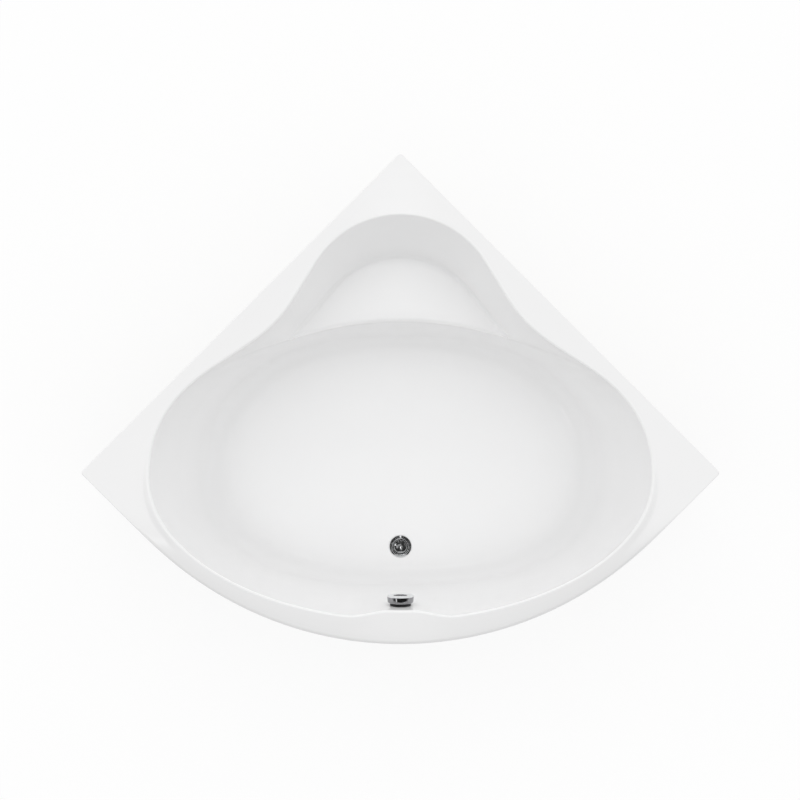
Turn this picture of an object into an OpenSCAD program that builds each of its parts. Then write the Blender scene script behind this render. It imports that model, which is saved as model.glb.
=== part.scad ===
// Corner bathtub with a seat in the room corner, on a steel frame with adjustable legs.
// Origin: middle of the plan's bounding box, on the floor of the room. +Y points into the
// room corner, the bowed front faces -Y, and all lengths are in millimetres.

/* [Outline] */
// Length of each of the two sides that stand against the walls
side_len = 1400; // [1340:10:1500]
// Radius of the bowed front
front_r = 1108; // [1040:4:1140]
// Height of the rim above the floor of the room
rim_h = 600; // [595:5:660]
// Height of the turned-down edge round the rim
skirt_h = 40; // [30:1:60]
// Thickness of the moulded sheet
shell_t = 6; // [4:0.5:8]

/* [Rim] */
// Width of the flat rim between the basin and the left or right corner
rim_side_w = 213; // [195:1:240]
// Width of the rim at the middle of the front
rim_front_w = 83; // [74:1:94]
// Width of the rim between the seat and the room corner
rim_apex_w = 192; // [170:2:220]
// Distance from the room corner to the back of the basin's oval
basin_back_in = 530; // [505:5:560]
// Height of the raised lip along the front
lip_h = 16; // [8:1:22]
// Rounding of the inner edge of the rim
edge_r = 7; // [4:0.5:10]
// Rounding of the outer front edge
nose_r = 12; // [6:1:16]
// Share of the front rim's outward fall that is straight, the rest being round
rim_straight = 0.75; // [0:0.05:0.9]
// Rounding of the edges that stand against the walls
wall_edge_r = 3; // [2:0.5:5]
// How far the rim bulges inwards in front of the overflow
bump_h = 25; // [10:0.5:32]
// Half the width of that bulge's straight middle
bump_flat = 36; // [20:1:50]
// Half the width of the whole bulge
bump_half_w = 172; // [140:2:220]

/* [Basin] */
// Depth of the basin below the rim
basin_depth = 430; // [400:5:435]
// How far the side walls lean outwards from floor to rim
side_run = 172; // [120:4:200]
// How far the front wall leans outwards from floor to rim
front_run = 88; // [80:2:110]
// How far the foot of the seat's riser lies in front of the oval's back
riser_run = 43; // [30:1:70]
// Swell of the side walls at seat height, beyond a straight line
side_belly = 10; // [0:1:20]
// Swell of the front wall at seat height
front_belly = 3; // [0:1:8]
// Swell of the riser at seat height
riser_belly = 38; // [20:1:45]
// Radius between floor and wall at the front and at the riser
fillet_r = 60; // [40:2:70]
// Extra radius between floor and wall at the two sides
fillet_extra = 50; // [0:2:70]
// Fall of the floor towards the waste, in millimetres per metre
floor_fall = 12; // [5:1:20]

/* [Seat] */
// Depth of the seat below the rim
seat_depth = 215; // [180:5:240]
// Radius of the seat's round back at the rim
seat_r = 308; // [284:2:330]
// How far the seat's back leans outwards from seat to rim
seat_run = 119; // [90:1:140]
// How much smaller the round back is at seat height
seat_taper = 34; // [20:1:60]
// Slant of the seat's flanks at the rim, in degrees
flank_top = 31.6; // [28:0.2:38]
// Slant of the seat's flanks at seat height, in degrees
flank_low = 40; // [34:1:44]
// Reach of the soft blend between seat and oval at the rim
blend_w = 118; // [60:2:130]
// Rounding of the seat's front edge
seat_edge_r = 12; // [8:1:18]
// Radius between the seat and its back
seat_fillet_r = 14; // [8:1:20]

/* [Frame] */
// Width of the square rail tubes
rail_w = 25; // [20:1:30]
// Width of the square post tubes
post_w = 20; // [16:1:22]
// Wall of the rail and post tubes
tube_t = 2; // [1.5:0.5:3]
// Thickness of the base board
board_t = 12; // [10:1:18]
// Distance of the front rails from the middle
front_rail_x = 330; // [300:5:360]
// Distance from the front edge to the middle of each front post
front_post_in = 38; // [36:1:42]
// Distance from the room corner to the middle of the back post
back_post_in = 124; // [100:2:140]
// Thickness of the pads on the posts
pad_t = 14; // [8:1:20]
// Distance of the side legs from the side posts
side_leg_in = 243.5; // [140:0.5:330]
// Distance of the back leg from the back post
back_leg_in = 220; // [100:5:370]
// Distance of the front legs from the front posts
front_leg_in = 109; // [60:1:180]
// Diameter of the screws that hold the base board
board_screw_d = 5; // [4:0.5:6]

/* [Legs] */
// Diameter of the leg screws
screw_d = 12; // [10:1:14]
// Diameter of the foot pads
foot_d = 50; // [40:1:60]
// Height of the foot pads
foot_h = 14; // [12:1:20]
// How far a leg can be screwed in
leg_in = 10; // [5:1:12]
// How far a leg can be screwed out
leg_out = 20; // [10:1:22]
// Length of the threaded sockets
socket_h = 20; // [16:1:26]
// Height of the lock nuts
nut_h = 8; // [6:1:10]
// Running clearance of a screw in its socket
screw_gap = 0.1; // [0.05:0.01:0.1]

/* [Wall brackets] */
// Width of a bracket
bracket_w = 60; // [50:2:80]
// Height of its screw plate
bracket_h = 60; // [50:2:80]
// Thickness of its steel
bracket_t = 3; // [2:0.5:4]
// Diameter of the screw holes
bracket_hole_d = 6.5; // [5:0.5:8]
// Distance of the brackets from the middle of the wall side
bracket_out = 380; // [300:10:480]

/* [Waste] */
// Distance from the front edge to the middle of the waste
waste_in = 282; // [270:1:300]
// Diameter of the waste flange
flange_d = 70; // [66:1:76]
// Diameter of the hole in the floor
floor_hole_d = 52; // [50:1:54]
// Diameter of the plug cap
plug_d = 44; // [40:1:46]
// How far the plug lifts
plug_lift = 10; // [6:0.5:11]
// Diameter of the plug stem
stem_d = 6; // [5:0.5:8]
// Running clearance of turning and sliding pins
pin_gap = 0.08; // [0.05:0.01:0.1]
// Outer diameter of the drain pipe
pipe_d = 40; // [36:1:40]
// Wall of the plastic pipes
pipe_t = 3; // [2.5:0.5:4]
// Radius of the trap's bend
trap_r = 34; // [30:1:36]
// Length of the outlet pipe
outlet_len = 265; // [240:5:400]
// Length of the outlet pipe's end that goes into the drain
spigot_len = 90; // [60:5:100]
// Turn of the trap's outlet to the right of straight back, in degrees
trap_swing = 25; // [15:1:35]

/* [Overflow] */
// Distance of the overflow below the rim
overflow_drop = 70; // [64:1:90]
// Diameter of the overflow hole
overflow_hole_d = 50; // [44:1:52]
// Diameter of the knob
knob_d = 84; // [76:1:88]
// Thickness of the knob
knob_t = 24; // [18:1:28]
// How much smaller the knob's radius is at its back
knob_taper = 5; // [2:1:12]
// Gap behind the knob where the water runs in
knob_gap = 9; // [6:0.5:12]
// Diameter of the knob's spindle
spindle_d = 8; // [6:0.5:10]
// Outer diameter of the ribbed hose
hose_d = 34; // [32:1:38]
// Bore of the ribbed hose
hose_bore_d = 24; // [20:1:24]
// Depth of the hose's grooves
rib_h = 2.5; // [1:0.5:2.5]
// Distance from rib to rib
rib_pitch = 7; // [6:0.5:12]
// Radius of the hose's bend
hose_bend_r = 60; // [50:2:64]
// Diameter of the control cable
cable_d = 5; // [4:0.5:6]

/* [Apron] */
// Height of the apron's lower edge above the floor of the room
apron_gap = 15; // [5:1:40]
// Thickness of the apron
apron_t = 3; // [2.5:0.5:4]
// Setback of the apron behind the rim's edge
apron_in = 3; // [2:0.5:4]
// Width of the apron's stiffening flanges
apron_flange = 12; // [8:1:13]
// Gap between the apron and the rim's edge above it
apron_top_gap = 2; // [1:0.5:4]
// Height of the lower clips above the rails
clip_low_up = 38; // [28:1:90]
// Distance of the upper clips below the apron's upper edge
clip_high_down = 58; // [38:1:120]

/* [Hidden] */
$fn = 64;
gap = 0.3;
half_diag = side_len / sqrt(2);
depth_y = 2 * half_diag - front_r * (sqrt(2) - 1);
front_y = -depth_y / 2;
mid_y = depth_y / 2 - half_diag;
arc_y = mid_y - half_diag + front_r * sqrt(2);
floor_z = rim_h - basin_depth;
seat_z = rim_h - seat_depth;
skirt_z = rim_h - skirt_h;

// The basin's three ovals: half length, half width in front and half width behind
rim_a = half_diag - rim_side_w;
rim_f = mid_y - front_y - rim_front_w;
rim_b = half_diag - basin_back_in;
low_a = rim_a - side_run;
low_f = rim_f - front_run;
low_b = rim_b - riser_run;
seat_t = 1 - seat_depth / basin_depth;
seat_a = low_a + side_run * seat_t + side_belly;
seat_f = low_f + front_run * seat_t + front_belly;
seat_b = low_b + riser_run * seat_t + riser_belly;

// Fullness of each oval in front and behind, where 2 is an ellipse
low_full = [2.45, 2.3];
seat_full = [2.25, 2.05];
rim_full = [2.01, 2.18];

// Rays from the square's middle, closer together across the seat
fine_step = 3;
coarse_step = 5;
fine_from = 30;
ray_angles = concat(
    [for (a = [fine_from:fine_step:180 - fine_from - fine_step]) a],
    [for (a = [180 - fine_from:coarse_step:360 + fine_from - coarse_step]) a]);

// Where the lip starts and is full, and where its slope covers the whole rim, in degrees
// below the line through the left and right corners
lip_from = -6;
lip_full = 14;
crown_from = 11;
crown_full = 21;
lip_slope_w = 26;
lip_bead_w = 9;
// Sheet thickness measured level, and the share of a radius left by a rounding's middle point
shell_w = 1.08 * shell_t;
round_k = 1 - sqrt(0.5);
seat_grow = 40;

function clamp(v, lo, hi) = max(lo, min(hi, v));
function mix(p, q, t) = p + (q - p) * t;
function ease(t) = let (u = clamp(t, 0, 1)) u * u * (3 - 2 * u);

// Larger of two distances, with a soft blend of width k where they meet
function soft_max(p, q, k) =
    let (h = max(k - abs(p - q), 0) / max(k, 0.001))
    max(p, q) + h * h * k / 4;

// Angle of a ray below the line through the left and right corners
function fold(a) = atan2(-sin(a), abs(cos(a)));

// Distance to the outer edge along a ray, with the edge drawn in by an inset
function edge_at(a, inset = 0) =
    let (r = front_r - inset, q = r / sqrt(2), d = arc_y - mid_y, turn = atan2(q - d, q))
    fold(a) > turn
        ? d * sin(a) + sqrt(r * r - pow(d * cos(a), 2))
        : (half_diag - inset * sqrt(2)) / (abs(cos(a)) + abs(sin(a)));

// Distance to an oval with half length ha, half width hb and fullness n
function oval(a, ha, hb, n) = pow(pow(abs(cos(a)) / ha, n) + pow(abs(sin(a)) / hb, n), -1 / n);
function half_oval(a, ha, front, back, full) =
    sin(a) < 0 ? oval(a, ha, front, full[0]) : oval(a, ha, back, full[1]);
function low_oval(a) = half_oval(a, low_a, low_f, low_b, low_full);
function seat_oval(a) = half_oval(a, seat_a, seat_f, seat_b, seat_full);
function rim_oval(a) = half_oval(a, rim_a, rim_f, rim_b, rim_full);

// Height as a share of the basin's depth, and the oval wall there, curved through the ovals
function rise_of(z) = (z - floor_z) / basin_depth;
function oval_wall(a, z) =
    let (t = rise_of(z), s = seat_t)
    low_oval(a) * (t - s) * (t - 1) / s
    + seat_oval(a) * t * (t - 1) / (s * (s - 1))
    + rim_oval(a) * t * (t - s) / (1 - s);

// The seat's outline, a round back with straight flanks: u is 0 at the seat and 1 at the rim
function seat_out(a, u) =
    let (r = seat_r - seat_taper * (1 - u),
         c = half_diag - rim_apex_w - seat_run * (1 - u) - r,
         b = mix(flank_low, flank_top, u),
         turn = atan2(c + r * sin(b), r * cos(b)),
         f = -fold(a))
    f <= 0 ? 0
        : f >= turn ? c * sin(f) + sqrt(r * r - pow(c * cos(f), 2))
        : (c * sin(b) + r) / cos(max(f, b) - b);

// The bulge of the rim in front of the overflow
function bump(a, z) =
    let (x = abs(cos(a)) * rim_oval(a))
    sin(a) > 0 ? 0
        : bump_h * rise_of(z) * (1 - ease((x - bump_flat) / (bump_half_w - bump_flat)));

// Distance to the basin's wall along a ray at a height
function wall_at(a, z) =
    let (u = (z - seat_z) / seat_depth, w = oval_wall(a, z))
    (u < 0 ? w : soft_max(w, seat_out(a, u), blend_w * u)) - bump(a, z);

// The raised lip: its share of the full height, and its spread over the rim
function lip_share(a) = ease((fold(a) - lip_from) / (lip_full - lip_from));
function crown(a) = ease((fold(a) - crown_from) / (crown_full - crown_from));
function top_z(a) = rim_h + lip_h * lip_share(a);
function nose(a) = mix(wall_edge_r, nose_r, crown(a));

// The radius between floor and wall, the wall's lean there, and where the level floor ends
foot_rise = 40;
function fillet(a) = fillet_r + fillet_extra * pow(cos(a), 2);
function lean(a) = atan2(foot_rise, wall_at(a, floor_z + foot_rise) - wall_at(a, floor_z));
function floor_edge(a) = wall_at(a, floor_z) - fillet(a) * tan(lean(a) / 2);

// Sections along one ray, each a list of [distance, height]
function floor_part(a) = [for (s = [1:3]) [floor_edge(a) * s / 3, floor_z]];
function fillet_part(a) =
    let (f = fillet(a), e = floor_edge(a))
    [for (j = [1:4]) let (p = lean(a) * j / 4) [e + f * sin(p), floor_z + f * (1 - cos(p))]];
function wall_part(a, z1, z2, n) = [for (j = [1:n]) let (z = mix(z1, z2, j / n)) [wall_at(a, z), z]];
function seat_part(a) =
    let (z0 = seat_z - seat_edge_r,
         z5 = seat_z + seat_fillet_r,
         near = oval_wall(a, seat_z),
         far = seat_out(a, 0),
         f = clamp((far - near) / seat_grow, 0, 1),
         e = seat_edge_r * f,
         g = seat_fillet_r * f,
         shelf = [[near + e * round_k, seat_z - e * round_k], [near + e, seat_z],
                  [far - g * 0.6, seat_z], [far - g * 0.1, seat_z + g * round_k]])
    [for (j = [1:5]) let (z = mix(z0, z5, j / 5), w = [wall_at(a, z), z])
        j == 5 ? w : mix(w, shelf[j - 1], f)];
function rim_part(a) =
    let (z = top_z(a),
         start = wall_at(a, z - edge_r),
         inner = start + edge_r,
         n = nose(a),
         edge = edge_at(a),
         w = min(edge - n - inner - 2, mix(lip_bead_w, lip_slope_w, lip_share(a))),
         flat = [for (v = [1:4]) [inner + w * v / 4, rim_h + (z - rim_h) * (1 + cos(45 * v)) / 2],
                 [edge - n, rim_h], [edge - n * round_k, rim_h - n * round_k], [edge, rim_h - n]],
         dome = [for (v = [1:7]) let (u = sin(90 * v / 7), drop = mix(1 - cos(90 * v / 7), u, rim_straight))
             [mix(inner, edge, u), mix(z, rim_h - n, drop)]])
    [[start + edge_r * round_k, z - edge_r * round_k], [inner, z],
     for (j = [0:6]) mix(flat[j], dome[j], crown(a)), [edge, skirt_z]];
function fillet_top(a) = floor_z + fillet(a) * (1 - cos(lean(a)));
function top_part(a) = concat(
    floor_part(a), fillet_part(a),
    wall_part(a, fillet_top(a), seat_z - seat_edge_r, 3),
    seat_part(a),
    wall_part(a, seat_z + seat_fillet_r, top_z(a) - edge_r, 4),
    rim_part(a));

// The underside: the turned-down edge's inner face and its bevel, then the same wall one sheet
// further out
function sunk(p) = [p[0] + shell_w, p[1] - shell_t];
function under_part(a) =
    let (s = seat_part(a), f = fillet_part(a), zm = mix(seat_z, rim_h, 0.5),
         e = edge_at(a, shell_t), n = nose(a), bevel = n * (1 + crown(a) / 4))
    [[e, skirt_z], [e, rim_h - shell_t - n], [edge_at(a, shell_t + bevel), rim_h - shell_t],
     [wall_at(a, rim_h - shell_t) + shell_w, rim_h - shell_t],
     [wall_at(a, zm) + shell_w, zm],
     sunk(s[4]), sunk(s[2]), sunk(s[1]),
     sunk([wall_at(a, seat_z - 2 * seat_edge_r), seat_z - 2 * seat_edge_r]),
     sunk(f[3]), sunk(f[1]), [floor_edge(a) + shell_w, floor_z - shell_t],
     [floor_edge(a) / 2, floor_z - shell_t]];

// The floor's rise away from the waste, fading out up to seat height
function lifted(a, p) =
    let (away = norm([p[0] * cos(a), p[0] * sin(a) + mid_y - waste_y]))
    p[1] + away * floor_fall / 1000 * clamp((seat_z - seat_edge_r - p[1]) / (seat_z - floor_z), 0, 1);
function placed(a, r, z) = [r * cos(a), r * sin(a) + mid_y, z];

waste_y = front_y + waste_in;

// Closed surface through rings of points, with a middle point at each end
module ring_skin(rings, first, last) {
    n = len(rings[0]);
    m = len(rings);
    points = [first, for (ring = rings) each ring, last];
    faces = [
        for (k = [0:n - 1]) [0, 1 + (k + 1) % n, 1 + k],
        for (i = [0:m - 2], k = [0:n - 1], h = [0, 1])
            let (p = 1 + i * n, q = p + n, k2 = (k + 1) % n)
            h == 0 ? [p + k, p + k2, q + k2] : [p + k, q + k2, q + k],
        for (k = [0:n - 1]) let (p = 1 + (m - 1) * n) [p + k, p + (k + 1) % n, 1 + m * n]];
    polyhedron(points, faces);
}

module tub_skin() {
    tops = [for (a = ray_angles) top_part(a)];
    unders = [for (a = ray_angles) under_part(a)];
    rings = concat(
        [for (i = [0:len(tops[0]) - 1]) [for (k = [0:len(ray_angles) - 1])
            let (a = ray_angles[k], p = tops[k][i]) placed(a, p[0], lifted(a, p))]],
        [for (i = [0:len(unders[0]) - 1]) [for (k = [0:len(ray_angles) - 1])
            let (a = ray_angles[k], p = unders[k][i]) placed(a, p[0], p[1])]]);
    ring_skin(rings, placed(0, 0, lifted(0, [0, floor_z])), placed(0, 0, floor_z - shell_t));
}

// Waste, from the floor down
recess_h = 2.5;
gasket_t = 1;
flange_z = floor_z - recess_h + gasket_t;
flange_h = 3;
neck_r = floor_hole_d / 2 - 0.5;
neck_z = floor_z - 30;
neck_bore_r = neck_r - 5;
body_top_z = floor_z - shell_t - gasket_t;
body_r = neck_r + gap;
body_out_r = body_r + 5;
body_z = floor_z - 78;
body_floor_t = 4;
pipe_r = pipe_d / 2;
plug_r = plug_d / 2;
stem_r = stem_d / 2;
plug_z = flange_z - 2;
boss_z = plug_z - 3.5;
lever_r = 3;
lever_arm = 21;
lever_z = floor_z - 45;
lever_y = waste_y - lever_arm;
stem_z = lever_z + lever_r + 0.5;
crank_h = 14;
crank_x = 36;
crank_t = 4;
spigot_h = 14;
bell_h = 14;
bell_r = pipe_r + gap;
bell_out_r = bell_r + pipe_t;
bell_top_z = body_z - 4;
trap_z = bell_top_z - bell_h;
outlet_bend_r = pipe_r + 4;
up_y = waste_y + 2 * trap_r;
outlet_z = trap_z + outlet_bend_r;
outlet_y = up_y + outlet_bend_r;
nut_wall = 4;

// Overflow, along the wall's own normal
overflow_z = rim_h - overflow_drop;
overflow_y = mid_y - wall_at(270, overflow_z);
tilt = atan((wall_at(270, overflow_z + 5) - wall_at(270, overflow_z - 5)) / 10);
wall_n = shell_w * cos(tilt);
chamber_r = overflow_hole_d / 2 + 4;
chamber_wall = 3;
chamber_h = 38;
chamber_z = -wall_n - gasket_t - chamber_h;
spindle_r = spindle_d / 2;
rosette_r = overflow_hole_d / 2 - 0.5;
rosette_h = 3;
rosette_gap = 1;
rosette_slot_w = 12;
nipple_r = hose_bore_d / 2 - gap;
nipple_bore_r = nipple_r - 2.5;
nipple_local_z = chamber_z + 18;
nipple_y = overflow_y + nipple_local_z * cos(tilt);
chamber_low_z = overflow_z + nipple_local_z * sin(tilt) - chamber_r;
hose_top_z = chamber_low_z - 3;
hose_low_z = floor_z - 61;
hose_end_y = waste_y - body_out_r - 2;
nipple_len = 28;
hose_nut_h = 16;
knob_r = knob_d / 2;
crank_arm = 16;
cable_r = cable_d / 2;
cable_x = 16;
cable_top_y = overflow_y + (chamber_z - 6) * cos(tilt);
anchor_z = lever_z + crank_h;
anchor_y = lever_y - 20;

// Frame heights and places
board_z = floor_z - shell_t - board_t;
rail_z = board_z - rail_w;
socket_z = rail_z - socket_h;
nut_z = socket_z - leg_in - 2 - nut_h;
screw_r = screw_d / 2;
leg_top_z = board_z - 2 - leg_in;
foot_floor = 5;
pad_z = rim_h - shell_t - pad_t;
side_post_x = half_diag - rim_side_w / 2;
back_post_y = mid_y + half_diag - back_post_in;
front_post_y = arc_y - sqrt(pow(front_r, 2) - pow(front_rail_x, 2)) + front_post_in;
side_leg_x = side_post_x - side_leg_in;
front_leg_y = front_post_y + front_leg_in;
leg_places = [[-side_leg_x, mid_y], [side_leg_x, mid_y], [0, back_post_y - back_leg_in],
              [-front_rail_x, front_leg_y], [front_rail_x, front_leg_y]];
post_places = [[-side_post_x, mid_y], [side_post_x, mid_y], [0, back_post_y],
               [-front_rail_x, front_post_y], [front_rail_x, front_post_y]];
place_names = ["left", "right", "back", "front_left", "front_right"];
// Board screws, as shares of the low oval's half length and half widths
board_screw_places = concat(
    [for (k = [-0.745, -0.33, 0.33, 0.745]) [k * low_a, mid_y]],
    [for (k = [0.22, 0.62]) [0, mid_y + k * low_b]],
    [for (x = [-1, 1], k = [0.25, 0.53]) [x * front_rail_x, mid_y - k * low_f]]);
bracket_places = [[45, -bracket_out], [45, bracket_out], [135, -bracket_out], [135, bracket_out]];
clip_places = [for (x = [-1, 1], z = [board_z + clip_low_up, skirt_z - apron_top_gap - clip_high_down])
    [x * front_rail_x, z]];
clip_d = 16;
clip_h = 24;
tongue_t = 3;

// Places that several parts share
module at_waste(z = 0) {
    translate([0, waste_y, z]) children();
}

module at_overflow() {
    translate([0, overflow_y, overflow_z]) rotate([tilt - 90, 0, 0]) children();
}

module ring(r_out, r_in, h) {
    difference() {
        cylinder(r = r_out, h = h);
        translate([0, 0, -1]) cylinder(r = r_in, h = h + 2);
    }
}

module along_x(x, y, z) {
    translate([x, y, z]) rotate([0, 90, 0]) children();
}

module along_y(x, y, z) {
    translate([x, y, z]) rotate([-90, 0, 0]) children();
}

module hex_ring(r_out, r_in, h) {
    difference() {
        cylinder(r = r_out, h = h, $fn = 6);
        translate([0, 0, -1]) cylinder(r = r_in, h = h + 2);
    }
}

// Moulded shell
module tub_shell() {
    color("white") difference() {
        tub_skin();
        at_waste(floor_z - 20) cylinder(d = floor_hole_d, h = 40);
        at_waste(floor_z - recess_h) cylinder(d = flange_d + 4, h = 20);
        at_overflow() translate([0, 0, -20]) cylinder(d = overflow_hole_d, h = 40);
    }
}

// Board under the floor, notched round the waste
notch_r = 95;
module base_board() {
    color("burlywood") difference() {
        translate([0, 0, board_z]) linear_extrude(board_t) difference() {
            polygon([for (a = ray_angles) let (r = floor_edge(a) - 15) [r * cos(a), r * sin(a) + mid_y]]);
            translate([0, waste_y]) circle(notch_r);
            translate([-notch_r, waste_y - 2 * notch_r]) square([2 * notch_r, 2 * notch_r]);
        }
        for (p = board_screw_places)
            translate([p[0], p[1], board_z - 1]) cylinder(d = board_screw_d + 2 * gap, h = board_t - 1);
    }
}

// Square tube along +Z from the origin
module square_tube(w, h) {
    linear_extrude(h) difference() {
        square(w, center = true);
        square(w - 2 * tube_t, center = true);
    }
}

// Holes up through the rails for leg screws and board screws
module rail_holes() {
    for (p = leg_places)
        translate([p[0], p[1], rail_z - 1]) cylinder(d = screw_d + 2, h = rail_w + 2);
    for (p = board_screw_places)
        translate([p[0], p[1], rail_z - 1]) cylinder(d = board_screw_d + 2 * gap, h = rail_w + 2);
}

module side_rail() {
    half = side_post_x + rail_w / 2;
    color("dimgray") difference() {
        along_x(-half, mid_y, rail_z + rail_w / 2) square_tube(rail_w, 2 * half);
        rail_holes();
    }
}

module back_rail() {
    start = mid_y + rail_w / 2;
    color("dimgray") difference() {
        along_y(0, start, rail_z + rail_w / 2) square_tube(rail_w, back_post_y + rail_w / 2 - start);
        rail_holes();
    }
}

module front_rail(side) {
    start = front_post_y - rail_w / 2;
    color("dimgray") difference() {
        along_y(side * front_rail_x, start, rail_z + rail_w / 2)
            square_tube(rail_w, mid_y - rail_w / 2 - start);
        rail_holes();
    }
}

module rim_post(place) {
    color("dimgray") translate([place[0], place[1], board_z]) square_tube(post_w, pad_z - board_z);
}

module rim_pads() {
    w = post_w + 4;
    color("black") for (p = post_places)
        translate([p[0] - w / 2, p[1] - w / 2, pad_z]) cube([w, w, pad_t]);
}

// Cap with a plug that fits the bore of a rail, pointing along +Z
module end_cap() {
    plug_w = rail_w - 2 * tube_t - 2 * gap;
    translate([-rail_w / 2, -rail_w / 2, 0]) cube([rail_w, rail_w, 2.5]);
    translate([-plug_w / 2, -plug_w / 2, -10]) cube([plug_w, plug_w, 10]);
}

module rail_end_caps() {
    end_x = side_post_x + rail_w / 2;
    z = rail_z + rail_w / 2;
    color("black") {
        translate([end_x, mid_y, z]) rotate([0, 90, 0]) end_cap();
        translate([-end_x, mid_y, z]) rotate([0, -90, 0]) end_cap();
        translate([0, back_post_y + rail_w / 2, z]) rotate([-90, 0, 0]) end_cap();
        for (x = [-1, 1])
            translate([x * front_rail_x, front_post_y - rail_w / 2, z]) rotate([90, 0, 0]) end_cap();
    }
}

module leg_sockets() {
    color("silver") for (p = leg_places)
        translate([p[0], p[1], socket_z]) ring(screw_r + 8, screw_r + screw_gap, socket_h);
}

module board_screws() {
    color("silver") for (p = board_screw_places) translate([p[0], p[1], rail_z]) {
        translate([0, 0, -3.5]) cylinder(d = 2 * board_screw_d, h = 3.5, $fn = 6);
        cylinder(d = board_screw_d, h = rail_w + board_t - 4);
    }
}

// Legs
module leg_screw(place) {
    bottom = foot_floor + gap;
    color("silver") translate([place[0], place[1], 0]) {
        translate([0, 0, bottom]) cylinder(r = screw_r, h = leg_top_z - bottom);
        translate([0, 0, foot_h + gap]) cylinder(r = screw_r + 4, h = 6, $fn = 6);
    }
}

module lock_nut(place) {
    color("silver") translate([place[0], place[1], nut_z]) hex_ring(screw_r + 5, screw_r + gap, nut_h);
}

module foot_pad(place) {
    neck = screw_r + 5;
    r = foot_d / 2;
    color("black") translate([place[0], place[1], 0]) difference() {
        rotate_extrude() polygon([[0, 0], [r - 1, 0], [r, 1], [r, 4], [neck + 2, foot_h - 3],
                                  [neck, foot_h], [0, foot_h]]);
        translate([0, 0, foot_floor]) cylinder(r = screw_r + gap, h = foot_h);
    }
}

// Steel hook under the rim's turned-down edge, screwed to the wall
module wall_bracket(place) {
    hook = shell_t + gap + bracket_t;
    color("silver") translate([0, mid_y, 0]) rotate([0, 0, place[0]])
        translate([side_len / 2, place[1], 0]) difference() {
            union() {
                translate([-bracket_t, -bracket_w / 2, skirt_z - bracket_h])
                    cube([bracket_t, bracket_w, bracket_h]);
                translate([-hook, -bracket_w / 2, skirt_z - bracket_t]) cube([hook, bracket_w, bracket_t]);
                translate([-hook, -bracket_w / 2, skirt_z - bracket_t]) cube([bracket_t, bracket_w, 22]);
            }
            for (s = [-1, 1])
                along_x(-bracket_t - 1, s * bracket_w * 0.3, skirt_z - bracket_h * 0.6)
                    cylinder(d = bracket_hole_d, h = bracket_t + 2);
        }
}

// Waste
module waste_flange() {
    r = flange_d / 2;
    mouth = plug_r + 2.2;
    color("silver") difference() {
        union() {
            at_waste() rotate_extrude() polygon([
                [neck_bore_r, neck_z], [neck_r, neck_z], [neck_r, flange_z], [r, flange_z],
                [r, flange_z + 0.8], [r - 3, flange_z + 2.4], [r - 7, flange_z + flange_h],
                [mouth + 0.6, flange_z + flange_h], [mouth, flange_z + flange_h - 0.8],
                [mouth - 0.8, flange_z - 3], [neck_bore_r, flange_z - 7]]);
            at_waste(neck_z + 4) cylinder(r = stem_r + 3, h = 8);
            at_waste(neck_z + 4) for (k = [0:2]) rotate(120 * k + 90)
                translate([stem_r + 1, -1.5, 0]) cube([neck_bore_r + 1 - stem_r, 3, 6]);
        }
        at_waste(neck_z) cylinder(r = stem_r + pin_gap, h = 20);
    }
}

module flange_gasket() {
    color("black") at_waste(floor_z - recess_h) ring(flange_d / 2 - 1, floor_hole_d / 2, gasket_t);
}

module floor_gasket() {
    color("black") at_waste(body_top_z) ring(body_out_r + 5, floor_hole_d / 2, gasket_t);
}

module waste_body() {
    color("whitesmoke") difference() {
        union() {
            at_waste(body_z) cylinder(r = body_out_r, h = body_top_z - body_z);
            at_waste(body_top_z - 6) cylinder(r = body_out_r + 6, h = 6);
            at_waste(body_z - spigot_h) cylinder(r = pipe_r, h = spigot_h + 1);
            along_y(0, hose_end_y - nipple_len, hose_low_z) cylinder(r = nipple_r, h = nipple_len + 8);
            along_x(-24, lever_y, lever_z) cylinder(r = lever_r + 3, h = 52);
            translate([18, anchor_y - 3, anchor_z - 6]) cube([10, 32, 12]);
            translate([18, anchor_y - 3, anchor_z - 6]) cube([24, 10, 12]);
        }
        at_waste(body_z + body_floor_t) cylinder(r = body_r, h = 200);
        at_waste(body_z - spigot_h - 1) cylinder(r = pipe_r - pipe_t, h = spigot_h + 10);
        along_y(0, hose_end_y - nipple_len - 1, hose_low_z) cylinder(r = nipple_bore_r, h = nipple_len + 16);
        along_x(-21, lever_y, lever_z) cylinder(r = lever_r + pin_gap, h = 60);
        along_y(crank_x, anchor_y - 4, anchor_z) cylinder(r = cable_r + gap, h = 8);
    }
}

module plug_cap() {
    crown_h = 6.5;
    color("silver") difference() {
        at_waste() rotate_extrude() polygon([
            [0, boss_z], [stem_r + 2, boss_z], [stem_r + 2, plug_z], [plug_r - 1, plug_z],
            [plug_r, plug_z + 1], [plug_r, plug_z + 3], [plug_r - 1.5, plug_z + 4.6],
            for (s = [1:6]) let (r = (plug_r - 1.5) * (1 - s / 6))
                [r, plug_z + crown_h - 1.9 * pow(r / (plug_r - 1.5), 2)]]);
        at_waste(boss_z - 1) cylinder(r = stem_r + gap, h = 4);
    }
}

module plug_seal() {
    top = plug_z - gap;
    inner = stem_r + 2 + gap;
    color("black") at_waste() rotate_extrude() polygon([
        [inner, top - 1.9], [plug_r + 0.2, top - 1.9], [plug_r + 1.1, top], [inner, top]]);
}

module plug_stem() {
    color("silver") at_waste(stem_z) cylinder(r = stem_r, h = boss_z + 2.7 - stem_z);
}

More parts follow.
